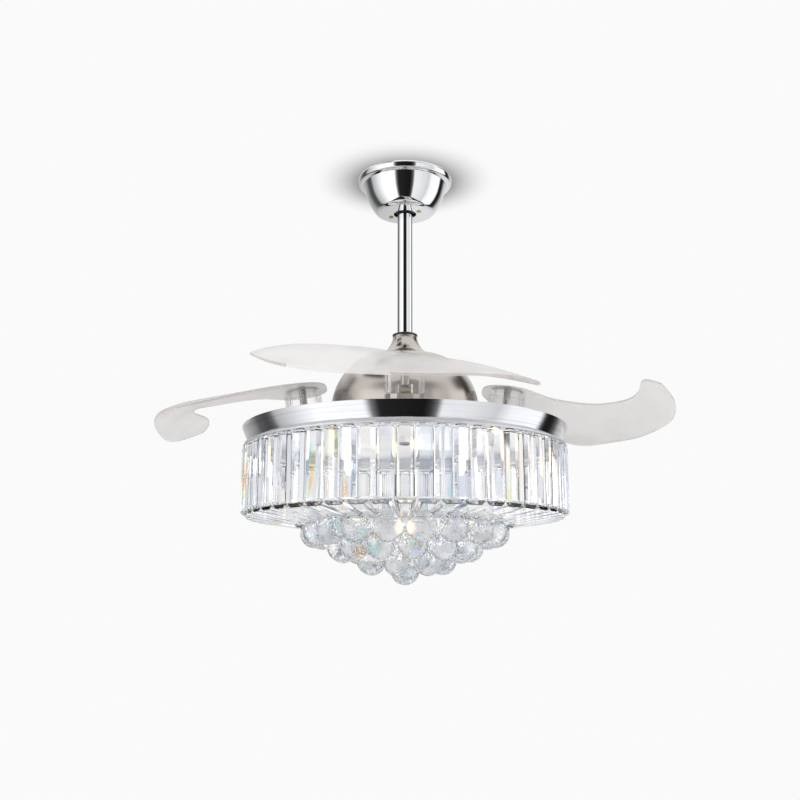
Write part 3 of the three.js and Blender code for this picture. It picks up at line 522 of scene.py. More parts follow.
class Finishes:
    """All materials by slot, and the few that a slot's pieces have of their own."""

    SPUN = (6.0, 6.0, 1400.0)
    EVEN = even(300.0)
    WOUND = (60.0, 60.0, 900.0)

    def __init__(self) -> None:
        """Builds each finish once."""
        slots: dict[Slot, Finish] = {
            Slot.CHROME: Plating(
                "chrome_plate", (0.87, 0.88, 0.89, 1), (0.80, 0.81, 0.83, 1), 0.012, 0.02, self.EVEN, 0.0
            ),
            Slot.BAND: Plating(
                "brushed_chrome", (0.86, 0.87, 0.90, 1), (0.80, 0.81, 0.85, 1), 0.03, 0.06, self.SPUN, 0.10,
                streak_scale=(5.0, 5.0, 420.0), streak=0.30,
            ),
            Slot.NICKEL: Plating(
                "warm_nickel", (0.60, 0.555, 0.515, 1), (0.54, 0.50, 0.465, 1), 0.12, 0.12, self.SPUN, 0.015,
                streak_scale=(3.0, 3.0, 60.0), streak=0.06,
            ),
            Slot.STEEL: Plating(
                "plain_steel", (0.62, 0.63, 0.65, 1), (0.52, 0.53, 0.55, 1), 0.25, 0.2, self.EVEN, 0.1
            ),
            Slot.BLACK: Moulding("black_enamel", (0.02, 0.02, 0.022, 1), 0.3),
            Slot.COPPER: Plating(
                "varnished_copper", (0.55, 0.27, 0.13, 1), (0.4, 0.18, 0.08, 1), 0.3, 0.2, self.WOUND, 0.4
            ),
            Slot.BRASS: Plating(
                "brass_gilt", (0.80, 0.58, 0.26, 1), (0.68, 0.47, 0.2, 1), 0.2, 0.15, self.SPUN, 0.05
            ),
            # the white board and driver are painted with emission to lighten the lamp's inside, though they
            # are no lamps
            Slot.WHITE: Moulding("white_board", grey(0.92), 0.5, painted_glow=0.35),
            Slot.BLADE: Film(
                "clear_film", (0.97, 0.96, 0.955, 1), (0.70, 0.66, 0.63, 1), (0.895, 0.885, 0.88, 1), 0.38
            ),
            Slot.CRYSTAL: CutGlass(
                "cut_crystal", (44.0, 44.0, 7.0), 0.71, (0.86, 0.90, 0.97, 1), (30.0, 30.0, 4.0), 1.54,
                (
                    # painted glint spots where lamps show through the prisms
                    Glint((0.013, -0.223, -0.433), 0.011),
                    Glint((-0.134, -0.182, -0.499), 0.009),
                    Glint((0.110, -0.199, -0.410), 0.011),
                ),
                0.9,
            ),
            Slot.LAMP: Glow("lamp_glow", (1.0, 0.80, 0.52, 1), 1.1),
        }
        self.by_slot = {slot: finish.build() for slot, finish in slots.items()}
        self.ball_glass = CutGlass(
            "cut_ball_crystal", even(120.0), 0.67, (0.93, 0.95, 1.0, 1), even(40.0), 1.58,
            # a painted glint spot where a lamp shows through the balls
            (Glint((0.0, -0.136, -0.523), 0.018),), 0.8,
        ).build()
        self.boss = Film(
            "clear_boss", (0.99, 0.99, 0.988, 1), (0.66, 0.65, 0.64, 1), (0.90, 0.89, 0.88, 1), 0.03,
            rim=0.5, gloss=0.5,
        ).build()
        self.blade_rim = Film(
            "film_rim", (0.84, 0.80, 0.79, 1), (0.70, 0.65, 0.62, 1), (0.72, 0.69, 0.67, 1), 0.25
        ).build()
        self.tray = Plating(
            "satin_tray", (0.93, 0.93, 0.94, 1), (0.88, 0.88, 0.89, 1), 0.45, 0.1, self.EVEN, 0.05
        ).build()
        # the lamp pan is painted with emission too, though it is no lamp
        self.pan = Moulding("pan_enamel", grey(0.90), 0.4, grain=0.1, painted_glow=0.2).build()

    def of(self, slot: Slot) -> bpy.types.Material:
        """The material of a slot."""
        return self.by_slot[slot]


# Shaping tools
def smooth_path(points: Sequence[Sequence[float]], steps: int) -> list[Vector]:
    """A smooth curve through points, with centripetal spacing.

    Args:
        points: the points to pass through, each of two or three numbers.
        steps: how many steps of equal length the curve is cut into.

    Returns:
        The cut points, one more than steps.
    """
    knots = [Vector(p).to_3d() for p in points]
    ends = [2 * knots[0] - knots[1], *knots, 2 * knots[-1] - knots[-2]]
    fine: list[Vector] = []
    for i in range(1, len(ends) - 2):
        p0, p1, p2, p3 = ends[i - 1 : i + 3]
        t1 = max((p1 - p0).length, MERGE) ** 0.5
        t2 = t1 + max((p2 - p1).length, MERGE) ** 0.5
        t3 = t2 + max((p3 - p2).length, MERGE) ** 0.5
        for k in range(SPAN_STEPS):
            t = t1 + (t2 - t1) * k / SPAN_STEPS
            a1 = p0.lerp(p1, t / t1)
            a2 = p1.lerp(p2, (t - t1) / (t2 - t1))
            a3 = p2.lerp(p3, (t - t2) / (t3 - t2))
            b1 = a1.lerp(a2, t / t2)
            b2 = a2.lerp(a3, (t - t1) / (t3 - t1))
            fine.append(b1.lerp(b2, (t - t1) / (t2 - t1)))
    fine.append(knots[-1])
    lengths = [0.0]
    for a, b in zip(fine, fine[1:]):
        lengths.append(lengths[-1] + (b - a).length)
    cuts: list[Vector] = []
    at = 0
    for k in range(steps + 1):
        want = lengths[-1] * k / steps
        while at < len(fine) - 2 and lengths[at + 1] < want:
            at += 1
        span = max(lengths[at + 1] - lengths[at], MERGE)
        cuts.append(fine[at].lerp(fine[at + 1], min(max((want - lengths[at]) / span, 0.0), 1.0)))
    return cuts


def rounded(profile: Sequence[Point], corners: Iterable[int], radius: float, steps: int) -> list[Point]:
    """Rounds chosen corners of a profile.

    Args:
        profile: closed list of (radius, height) points.
        corners: the corners' numbers.
        radius: how far from a corner the rounding starts.
        steps: how many facets a corner gets.

    Returns:
        The new profile.
    """
    out: list[Point] = []
    for i, here in enumerate(profile):
        if i not in corners:
            out.append(here)
            continue
        p = Vector(here)
        start = p + (Vector(profile[i - 1]) - p).normalized() * radius
        end = p + (Vector(profile[(i + 1) % len(profile)]) - p).normalized() * radius
        for k in range(steps + 1):
            t = k / steps
            q = (1 - t) ** 2 * start + 2 * t * (1 - t) * p + t * t * end
            out.append((q.x, q.y))
    return out


def turns(count: int) -> list[Matrix]:
    """Equal turns round the upright axis."""
    return [Matrix.Rotation(FULL_TURN * i / count, 4, "Z") for i in range(count)]


class Shape:
    """A mesh in the making."""

    def __init__(self) -> None:
        """Starts empty."""
        self.bm = bmesh.new()

    def turned(self, profile: Iterable[Point], steps: int, closed: bool = True) -> "Shape":
        """Spins a profile once round the upright axis, and turns its faces outwards.

        Args:
            profile: (radius, height) points.
            steps: how many facets go round.
            closed: whether the last point joins the first; not where both lie on the axis.

        Returns:
            This shape.
        """
        bm = self.bm
        verts = [bm.verts.new((r, 0.0, z)) for r, z in profile]
        edges = [bm.edges.new(pair) for pair in zip(verts, verts[1:])]
        if closed:
            edges.append(bm.edges.new((verts[-1], verts[0])))
        bmesh.ops.spin(
            bm, geom=verts + edges, cent=(0, 0, 0), axis=(0, 0, 1), angle=FULL_TURN, steps=steps,
            use_merge=True, use_duplicate=False,
        )
        bmesh.ops.remove_doubles(bm, verts=bm.verts, dist=MERGE)
        bmesh.ops.dissolve_degenerate(bm, edges=bm.edges, dist=MERGE)
        bmesh.ops.recalc_face_normals(bm, faces=bm.faces)
        return self

    def bevel(self, edges: Iterable[bmesh.types.BMEdge], width: float) -> None:
        """Cuts one flat facet along edges.

        Args:
            edges: the edges.
            width: how far the cut reaches from each edge.
        """
        bmesh.ops.bevel(
            self.bm, geom=list(edges), offset=width, segments=1, profile=0.5, affect="EDGES", material=-1
        )

    def copies(self, other: "Shape", matrices: Iterable[Matrix]) -> "Shape":
        """Adds copies of another shape.

        Args:
            other: the shape that is copied.
            matrices: one place per copy.

        Returns:
            This shape.
        """
        mesh = bpy.data.meshes.new("copy")
        other.bm.to_mesh(mesh)
        for matrix in matrices:
            before = len(self.bm.verts)
            self.bm.from_mesh(mesh)
            self.bm.verts.ensure_lookup_table()
            bmesh.ops.transform(self.bm, matrix=matrix, verts=self.bm.verts[before:])
        bpy.data.meshes.remove(mesh)
        return self

    def piece(
        self, name: str, body: str, slot: Slot, materials: Sequence[bpy.types.Material],
        stands_for: Sequence[str], crease: float | None,
    ) -> bpy.types.Object:
        """Makes the finished object.

        Args:
            name: the piece's name.
            body: the body that it rides on.
            slot: the record's material slot; not used.
            materials: its finishes, by the material number of its faces.
            stands_for: the nodes that it replaces.
            crease: edges sharper than this many degrees stay sharp; None keeps every facet flat.

        Returns:
            The object.
        """
        mesh = bpy.data.meshes.new(name)
        self.bm.to_mesh(mesh)
        self.bm.free()
        if crease is not None:
            mesh.shade_smooth()
            mesh.set_sharp_from_angle(angle=math.radians(crease))
        for material in materials:
            mesh.materials.append(material)
        piece = bpy.data.objects.new(name, mesh)
        bpy.context.scene.collection.objects.link(piece)
        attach(piece, body)
        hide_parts(*stands_for)
        LOG.info("%s: %d faces on %s", name, len(mesh.polygons), body)
        return piece


@dataclass
class Assembly:
    """A sub-assembly that takes its finishes from the fan's."""

    finishes: Finishes
    CREASE = 35.0

    def build(self) -> None:
        """Makes the pieces."""
        raise NotImplementedError

    def add(
        self, shape: Shape, name: str, slot: Slot, node: str,
        crease: float | None = CREASE, body: Body = Body.HANGING,
    ) -> None:
        """Makes a piece in its slot's own finish."""
        shape.piece(name, body.value, slot, [self.finishes.of(slot)], [node], crease)


# Ceiling end
@dataclass
class CeilingEnd(Assembly):
    """The bowl on the ceiling with its rolled rim."""

    radius: float = 0.0685
    depth: float = 0.0545
    hole: float = 0.0165
    wall: float = 0.0016
    level_share: float = 1.5
    rim_steps: int = 20
    bowl_steps: int = 28
    facets: int = 144
    rim_shares: tuple[Point, ...] = (
        (0.958, 0.006), (0.985, 0.014), (1.0, 0.045), (1.0, 0.09),
        (0.994, 0.14), (0.978, 0.178), (0.94, 0.196), (0.898, 0.203),
    )
    bowl_shares: tuple[Point, ...] = (
        (0.885, 0.215), (0.877, 0.25), (0.854, 0.367), (0.797, 0.587),
        (0.723, 0.771), (0.664, 0.881), (0.61, 0.957), (0.53, 1.0),
    )

    def build(self) -> None:
        """Makes the bowl."""
        rim, bowl = (
            smooth_path([(r * self.radius, -z * self.depth) for r, z in shares], steps)
            for shares, steps in ((self.rim_shares, self.rim_steps), (self.bowl_shares, self.bowl_steps))
        )
        floor = self.wall - self.depth
        level_wall = self.level_share * self.wall
        outer = [(p.x, p.y) for p in rim + bowl] + [(self.hole, -self.depth)]
        inside = [(self.hole, floor), (bowl[-1].x, floor)]
        inside += [(p.x - level_wall, p.y + self.wall) for p in reversed(bowl[:-1])]
        inside += [(bowl[0].x - level_wall, rim[0].y)]
        shape = Shape().turned(outer + inside, self.facets)
        self.add(shape, "canopy_bowl", Slot.CHROME, "canopy", body=Body.CEILING)


# Rod and neck
@dataclass
class RodAndNeck(Assembly):
    """The hanging rod, the collar round it and the bell over the motor's top."""

    rod_radius: float = 0.011
    rod_wall: float = 0.002
    rod_top: float = 0.006
    rod_reach: float = 0.0085
    collar_drop: float = 0.237
    collar_radius: float = 0.018
    collar_thick: float = 0.004
    collar_lip: float = 0.002
    collar_slope: float = 0.0018
    edge_radius: float = 0.0008
    edge_steps: int = 5
    neck_top: float = 0.017
    neck_base: float = 0.046
    neck_height: float = 0.031
    neck_wall: float = 0.003
    neck_steps: int = 28
    neck_facets: int = 96
    facets: int = 64
    neck_shares: tuple[Point, ...] = (
        (0.0, 0.0), (0.02, 0.12), (0.1, 0.34), (0.3, 0.64), (0.62, 0.88), (1.0, 1.0),
    )

    def build(self) -> None:
        """Makes the three turned pieces."""
        top = -self.collar_drop
        low = top - self.collar_thick
        foot = low - self.rod_reach
        r = self.rod_radius
        bore = r - self.rod_wall
        rod = [(bore, -self.rod_top), (r, -self.rod_top), (r, foot), (bore, foot)]
        self.add(Shape().turned(rod, self.facets), "hanging_rod", Slot.CHROME, "downrod")
        eye = r + GAP
        collar = [
            (eye, low),
            (self.collar_radius, low),
            (self.collar_radius, top - self.collar_slope),
            (eye + self.collar_lip, top),
            (eye, top),
        ]
        collar = rounded(collar, (1, 2, 3), self.edge_radius, self.edge_steps)
        self.add(Shape().turned(collar, self.facets), "collar_ring", Slot.BLACK, "rod_collar")
        neck_z = low - GAP
        spread = self.neck_base - self.neck_top
        points = [(self.neck_top + s * spread, neck_z - z * self.neck_height) for s, z in self.neck_shares]
        outer = smooth_path(points, self.neck_steps)
        neck = [(p.x, p.y) for p in outer] + [(p.x - self.neck_wall, p.y) for p in reversed(outer)]
        self.add(Shape().turned(neck, self.neck_facets), "neck_cover", Slot.NICKEL, "neck_bell")


# Motor
@dataclass
class MotorCover(Assembly):
    """The spun dome over the motor."""

    radius: float = 0.104
    height: float = 0.090
    top: float = -0.2726
    wall: float = 0.0018
    level_share: float = 1.2
    eye: float = 0.0083
    steps: int = 48
    facets: int = 144
    shares: tuple[Point, ...] = (
        (0.42, 0.0), (0.59, 0.052), (0.72, 0.15), (0.83, 0.29),
        (0.92, 0.46), (0.975, 0.64), (0.997, 0.82), (1.0, 1.0),
    )

    def build(self) -> None:
        """Makes the dome."""
        points = [(r * self.radius, self.top - z * self.height) for r, z in self.shares]
        outer = smooth_path(points, self.steps)
        foot = self.top - self.height
        level_wall = self.level_share * self.wall
        inner = [(p.x - level_wall, max(p.y - self.wall, foot)) for p in reversed(outer)]
        eye = [(self.eye, self.top - self.wall), (self.eye, self.top)]
        profile = eye + [(p.x, p.y) for p in outer] + inner
        self.add(Shape().turned(profile, self.facets), "motor_cover", Slot.NICKEL, "motor_dome")


# Blades
@dataclass
class Blades(Assembly):
    """Four clear sickle blades on leaning pivots, with their bosses and screws."""

    nodes: dict[str, bpy.types.Object]
    circle: float = 0.145
    lean: float = math.radians(8.5)
    level: float = -0.3226
    thick: float = 0.003
    sharp: float = math.radians(50)
    flat: float = math.radians(25)
    square: float = math.radians(80)
    rim_share: float = 0.5
    rim_radius: float = 0.0008
    sheet_crease: float = 40.0
    hub: float = 0.026
    hub_length: float = 0.032
    hub_crease: float = 30.0
    hub_facets: int = 72
    bore: float = 0.0056
    well: float = 0.0118
    well_depth: float = 0.0125
    foot_chamfer: float = 0.003
    edge_radius: float = 0.0008
    edge_steps: int = 3
    plate_radius: float = 0.0225
    plate_thick: float = 0.0014
    plate_edge: Point = (0.0005, 0.0004)
    plate_facets: int = 48
    screw_circle: float = 0.017
    screw_facets: int = 16
    screw_profile: tuple[Point, ...] = (
        (0.0, -0.018), (0.002, -0.0175), (0.002, 0.0), (0.002, 0.0012),
        (0.0036, 0.0012), (0.0034, 0.0024), (0.0018, 0.0029), (0.0, 0.0029),
    )
    bodies: tuple[Body, ...] = (Body.BLADE_RIGHT, Body.BLADE_BACK, Body.BLADE_LEFT, Body.BLADE_FRONT)

    def seat(self, turn: Matrix) -> Matrix:
        """The place of a pivot's own frame."""
        pivot = Matrix.Translation((self.circle, 0.0, self.level))
        return turn @ pivot @ Matrix.Rotation(self.lean, 4, "Y")

    def sheet(self, node: bpy.types.Object) -> Shape:
        """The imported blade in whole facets, with creased edges and a rim that takes its own finish.

        Args:
            node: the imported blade.

        Returns:
            The sheet.
        """
        shape = Shape()
        bm = shape.bm
        bm.from_mesh(node.data)
        bmesh.ops.remove_doubles(bm, verts=bm.verts, dist=MERGE)
        bmesh.ops.recalc_face_normals(bm, faces=bm.faces)
        bmesh.ops.join_triangles(
            bm, faces=bm.faces, angle_face_threshold=self.flat, angle_shape_threshold=self.square
        )
        crease = bm.edges.layers.float.new("crease_edge")
        for edge in bm.edges:
            edge[crease] = 1.0 if edge.calc_face_angle(0.0) > self.sharp else 0.0
        for face in bm.faces:
            creased = sum(e.calc_length() for e in face.edges if e[crease])
            face.material_index = 1 if creased > self.rim_share * face.calc_perimeter() else 0
        return shape

    def smooth(self, piece: bpy.types.Object) -> None:
        """Rounds a sheet between its creases, and softens its rim.

        Args:
            piece: the finished sheet.
        """
        rounding = piece.modifiers.new("rounding", "SUBSURF")
        rounding.levels = rounding.render_levels = 2
        rim = piece.modifiers.new("rim", "BEVEL")
        rim.width = self.rim_radius
        rim.segments = 2
        rim.limit_method = "ANGLE"
        rim.angle_limit = self.sharp

    def boss(self) -> Shape:
        """The clear boss, bored for its pivot and its spring.

        Returns:
            The boss in its pivot's own frame.
        """
        top = -self.thick / 2 - GAP
        low = top - self.hub_length
        well_top = low + self.well_depth
        profile = [
            (self.bore, top),
            (self.hub, top),
            (self.hub, low + self.foot_chamfer),
            (self.hub - self.foot_chamfer, low),
            (self.well, low),
            (self.well, well_top),
            (self.bore, well_top),
        ]
        return Shape().turned(rounded(profile, (1, 2, 3), self.edge_radius, self.edge_steps), self.hub_facets)

    def fasteners(self) -> Shape:
        """The four screws on their thin plate, with shanks that take the boss's finish.

        Returns:
            The fasteners in their pivot's own frame.
        """
        foot = self.thick / 2 + GAP
        top = foot + self.plate_thick
        inset, drop = self.plate_edge
        edge = [(self.plate_radius, foot), (self.plate_radius, top - drop), (self.plate_radius - inset, top)]
        shape = Shape().turned([(self.bore, foot), *edge, (self.bore, top)], self.plate_facets)
        screw = Shape().turned([(r, foot + z) for r, z in self.screw_profile], self.screw_facets, False)
        for face in screw.bm.faces:
            face.material_index = 1 if face.calc_center_median().z < foot else 0
        places = [m @ Matrix.Translation((self.screw_circle, 0, 0)) for m in turns(4)]
        return shape.copies(screw, places)

    def build(self) -> None:
        """Makes the four blades with what turns with them."""
        film, rim, clear = self.finishes.of(Slot.BLADE), self.finishes.blade_rim, self.finishes.boss
        black = self.finishes.of(Slot.BLACK)
        for n, (body, turn) in enumerate(zip(self.bodies, turns(len(self.bodies))), 1):
            sheet = self.sheet(self.nodes[f"blade_{n}"])
            self.smooth(
                sheet.piece(
                    f"blade_sheet_{n}", body.value, Slot.BLADE, [film, rim], [f"blade_{n}"], self.sheet_crease
                )
            )
            for name, shape, slot, materials, node in (
                (f"blade_boss_{n}", self.boss(), Slot.BLADE, [clear], f"hub_boss_{n}"),
                (f"blade_screws_{n}", self.fasteners(), Slot.BLACK, [black, clear], f"hub_screws_{n}"),
            ):
                bmesh.ops.transform(shape.bm, matrix=self.seat(turn), verts=shape.bm.verts)
                shape.piece(name, body.value, slot, materials, [node], self.hub_crease)


# Lamp
@dataclass
class LampBand(Assembly):
    """The brushed band round the lamp's top."""

    top: float = -0.379
    height: float = 0.025
    top_radius: float = 0.225
    foot_radius: float = 0.215
    wall: float = 0.002
    edge_radius: float = 0.0007
    edge_steps: int = 3
    facets: int = 192

    def build(self) -> None:
        """Makes the band."""
        low = self.top - self.height
        profile = [
            (self.top_radius - self.wall, self.top),
            (self.foot_radius - self.wall, low),
            (self.foot_radius, low),
            (self.top_radius, self.top),
        ]
        profile = rounded(profile, (2, 3), self.edge_radius, self.edge_steps)
        self.add(Shape().turned(profile, self.facets), "drum_band", Slot.BAND, "chrome_band")


@dataclass
class PrismDrum(Assembly):
    """Sixty hanging prisms in four banks."""

    count: int = 60
    banks: int = 4
    outer: float = 0.2240
    width: float = 0.0216
    depth: float = 0.011
    length: float = 0.090
    top: float = -0.4068
    front_bevel: float = 0.0042
    back_share: float = 0.8
    top_bevel: float = 0.0042
    foot_bevel: float = 0.0020

    def prism(self) -> Shape:
        """One prism on the +X side.

        Returns:
            The prism.
        """
        shape = Shape()
        bm = shape.bm
        bmesh.ops.create_cube(bm, size=1.0)
        bmesh.ops.scale(bm, vec=(self.depth, self.width, self.length), verts=bm.verts)
        upright = [e for e in bm.edges if abs(e.verts[0].co.z - e.verts[1].co.z) > self.length / 2]
        front = [e for e in upright if e.verts[0].co.x > 0]
        back = [e for e in upright if e.verts[0].co.x < 0]
        shape.bevel(front, self.front_bevel)
        shape.bevel(back, self.back_share * self.front_bevel)
        level = [e for e in bm.edges if abs(e.verts[0].co.z - e.verts[1].co.z) < MERGE]
        tops = [e for e in level if e.verts[0].co.z > 0]
        feet = [e for e in level if e.verts[0].co.z < 0]
        shape.bevel(tops, self.top_bevel)
        shape.bevel(feet, self.foot_bevel)
        middle = (self.outer - self.depth / 2, 0.0, self.top - self.length / 2)
        bmesh.ops.translate(bm, vec=middle, verts=bm.verts)
        bmesh.ops.recalc_face_normals(bm, faces=bm.faces)
        return shape

    def build(self) -> None:
        """Makes the banks."""
        each = self.count // self.banks
        places = turns(self.count)
        for bank in range(self.banks):
            shape = Shape().copies(self.prism(), places[bank * each : (bank + 1) * each])
            self.add(shape, f"prisms_{bank + 1}", Slot.CRYSTAL, f"prism_bank_{bank + 1}", None)


@dataclass
class LowerRing(Assembly):
    """The level crystals under the drum."""

    count: int = 48
    inner: float = 0.150
    outer: float = 0.2172
    top: float = -0.4968
    fall: float = 0.010
    thick: float = 0.005
    side_gap: float = 0.0004
    foot_share: float = 0.62
    edge_bevel: float = 0.0008

    def build(self) -> None:
        """Makes one bar and turns it round."""
        bar = Shape()
        bmesh.ops.create_cube(bar.bm, size=1.0)
        length = self.outer - self.inner
        for vert in bar.bm.verts:
            x = self.inner + (vert.co.x + 0.5) * length
            half = math.pi * x / self.count - self.side_gap
            z = self.top - self.fall * (self.outer - x) / length
            if vert.co.z < 0:
                half *= self.foot_share
                z -= self.thick
            vert.co = (x, math.copysign(half, vert.co.y), z)
        bar.bevel(bar.bm.edges, self.edge_bevel)
        self.add(Shape().copies(bar, turns(self.count)), "lower_bars", Slot.CRYSTAL, "lower_crystals", None)


@dataclass(frozen=True)
class Tier:
    """One ring of balls."""

    name: str
    circle: float
    count: int
    drop: float


@dataclass
class BallCascade(Assembly):
    """Faceted balls in three rings, and one in the middle."""

    radius: float = 0.0196
    band_top: float = -0.379
    tilt: float = 0.2
    tiers: tuple[Tier, ...] = (
        Tier("outer", 0.124, 18, 0.142),
        Tier("middle", 0.088, 13, 0.1615),
        Tier("inner", 0.051, 7, 0.1785),
        Tier("centre", 0.0, 1, 0.192),
    )

    def ball(self, pick: random.Random) -> Shape:
        """A faceted ball with a turn of its own.

        Args:
            pick: where the turn comes from.

        Returns:
            The ball.
        """
        shape = Shape()
        bmesh.ops.create_icosphere(shape.bm, subdivisions=3, radius=self.radius)
        spin = Matrix.Rotation(pick.uniform(0, FULL_TURN), 4, "Z")
        tip = Matrix.Rotation(pick.uniform(-self.tilt, self.tilt), 4, "X")
        bmesh.ops.transform(shape.bm, matrix=spin @ tip, verts=shape.bm.verts)
        return shape

    def build(self) -> None:
        """Makes each tier's balls."""
        pick = random.Random(SEED)
        glass = [self.finishes.ball_glass]
        for tier in self.tiers:
            place = Matrix.Translation((tier.circle, 0, self.band_top - tier.drop))
            balls = Shape()
            for turn in turns(tier.count):
                balls.copies(self.ball(pick), [turn @ place])
            node = f"ball_tier_{tier.name}"
            balls.piece(f"balls_{tier.name}", Body.HANGING.value, Slot.CRYSTAL, glass, [node], None)


@dataclass
class Interior(Assembly):
    """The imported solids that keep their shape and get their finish."""

    nodes: dict[str, bpy.types.Object]
    record: dict[str, Any]

    def build(self) -> None:
        """Gives each solid its slot's finish, or its own where its name starts as one of these does."""
        slots = {row["node"]: row["material_slot"] for row in self.record["subparts"]}
        nickel, tray = self.finishes.of(Slot.NICKEL), self.finishes.tray
        # the lamp pan's finish carries painted emission
        own = {"return_spring": nickel, "pivot_pin": nickel, "lamp_pan": self.finishes.pan}
        own |= dict.fromkeys(("shaft_nut", "ball_tray", "lower_frame", "crystal_carrier"), tray)
        for name, node in self.nodes.items():
            plain = self.finishes.of(Slot(slots[name]))
            material = next((own[start] for start in own if name.startswith(start)), plain)
            node.data.materials.clear()
            node.data.materials.append(material)


# Studio
@dataclass
class Studio:
    """Camera, backdrop and soft light. An azimuth is in turns, with 0.5 towards the camera."""

    distance: float = 1.343
    height: float = -0.619
    pitch: float = math.radians(12.0)
    focal_px: float = 973.0
    frame_px: float = 800.0
    axis_px: float = 405.0
    sensor: float = 36.0
    nearest: float = 0.01
    white: float = 0.955
    black: float = 0.02
    ring_join: Point = (0.37, 0.47)
    top_join: Point = (0.60, 0.70)
    top_level: float = 1.0
    flag_azimuth: Window = ((0.232, 0.238), (0.385, 0.395))
    flag_height: Window = ((0.70, 0.73), (0.82, 0.84))
    lens_azimuth: Window = ((0.10, 0.13), (0.33, 0.36))
    lens_height: Window = ((0.87, 0.89), (0.965, 0.98))
    lens_level: float = 0.03
    floor_level: float = 1.15
    floor_join: Point = (0.82, 0.86)
    floor_join_in_glass: Point = (0.66, 0.80)
    floor_gap: Window = ((0.72, 0.75), (0.82, 0.84))
    glass_share: float = 0.68
    glass_level: float = 0.95
    glass_front: Window = ((0.43, 0.45), (0.55, 0.57))
    glass_front_loss: float = 0.85
    speck_scale: float = 9.0
    speck_dark: Point = (0.34, 0.38)
    speck_dark_share: float = 0.85
    speck_dark_level: float = 0.06
    speck_bright: Point = (0.62, 0.66)
    speck_bright_level: float = 2.2
    low_ring: tuple[Point, ...] = (
        (-180, 0.70), (-156, 0.55), (-142, 0.42), (-131, 0.28), (-124, 0.12), (-112, 0.07), (-106, 0.14),
        (-101, 0.50), (-86, 0.78), (-76, 1.0), (-66, 1.2), (-29, 1.2), (-24.5, 0.22), (-19, 0.02), (14, 0.01),
        (19, 0.04), (23.5, 0.18), (27, 1.0), (40, 0.95), (60, 0.82), (69, 0.74), (79, 1.1), (108, 1.2),
        (113, 0.06), (117, 0.01), (124, 0.02), (130, 0.12), (137, 0.52), (148, 0.72), (165, 0.82),
    )
    high_ring: tuple[Point, ...] = (
        (-180, 0.9), (-150, 0.8), (-137, 0.72), (-118, 0.50), (-108, 0.20), (-98, 0.7), (-87, 0.88),
        (-65, 0.92), (-44, 0.50), (-22, 0.26), (0, 0.13), (22, 0.19), (44, 0.36), (65, 0.75), (84, 0.95),
        (93, 0.55), (100, 0.16), (120, 0.04), (131, 0.06), (139, 0.50), (150, 0.78), (170, 0.9),
    )
    ceiling_gap: float = 0.0006
    ceiling_radius: float = 0.3
    ceiling_fade: Point = (0.25, 0.28)
    # the ceiling's painted shadow round the bowl
    shadow_shift: float = 0.012
    shadow_outer: float = 0.138
    shadow_inner: float = 0.072
    shadow_share: float = 0.62
    shadow_power: float = 1.8
    floor_z: float = -1.9
    floor_radius: float = 3.0
    floor_fade: Point = (1.6, 2.9)
    floor_grey: float = 0.8
    floor_glow: float = 0.25
    disc_facets: int = 96
    lamp_places: tuple[tuple[str, Triple], ...] = (
        ("left_lamp", (-1.4, -1.3, -0.2)),
        ("right_lamp", (1.5, -1.1, -0.4)),
    )
    lamp_aim: Triple = (0.0, 0.0, -0.45)
    lamp_size: float = 0.35
    lamp_power: float = 14.0
    bounces: int = 26
    glossy_bounces: int = 6
    clear_bounces: int = 12
    clamp: float = 6.0

    def camera(self) -> None:
        """Places the camera where the photograph was taken from."""
        data = bpy.data.cameras.new("camera")
        data.sensor_width = self.sensor
        data.lens = self.focal_px / self.frame_px * data.sensor_width
        data.shift_x = (self.frame_px / 2 - self.axis_px) / self.frame_px
        data.clip_start = self.nearest
        camera = bpy.data.objects.new("camera", data)
        camera.location = (0.0, -self.distance, self.height)
        camera.rotation_euler = (math.pi / 2 + self.pitch, 0.0, 0.0)
        bpy.context.scene.collection.objects.link(camera)
        bpy.context.scene.camera = camera

    def world(self) -> None:
        """Fills the surroundings: white boxes left and right of the camera, and dark gaps round them."""
        world = bpy.data.worlds.new("studio")
        bpy.context.scene.world = world
        world.use_nodes = True
        g = Graph(world.node_tree)
        direction = g.node("ShaderNodeTexCoord").outputs["Generated"]
        parts = g.node("ShaderNodeSeparateXYZ", None, {0: direction})
        x, y, z = (Value(g, out) for out in parts.outputs)
        azimuth = x.angle_from(0.0 - y) / FULL_TURN + 0.5
        low, high = (
            g.ramp(azimuth, tuple((degrees / 360 + 0.5, grey(level)) for degrees, level in ring))
            for ring in (self.low_ring, self.high_ring)
        )
        flag = azimuth.inside(self.flag_azimuth) * z.inside(self.flag_height)
        lens = azimuth.inside(self.lens_azimuth) * z.inside(self.lens_height)
        top = g.mix(lens, grey(self.top_level), grey(self.lens_level))
        top = g.mix(flag, top, grey(self.black))
        seen = g.mix(z.between(*self.top_join), g.mix(z.between(*self.ring_join), low, high), top)
        down = 0.0 - z
        around = g.mix(down.between(*self.floor_join_in_glass), seen, grey(self.floor_level))
        lit = g.mix(down.between(*self.floor_join), seen, grey(self.floor_level))
        seen = g.mix(down.inside(self.floor_gap), lit, grey(self.black))
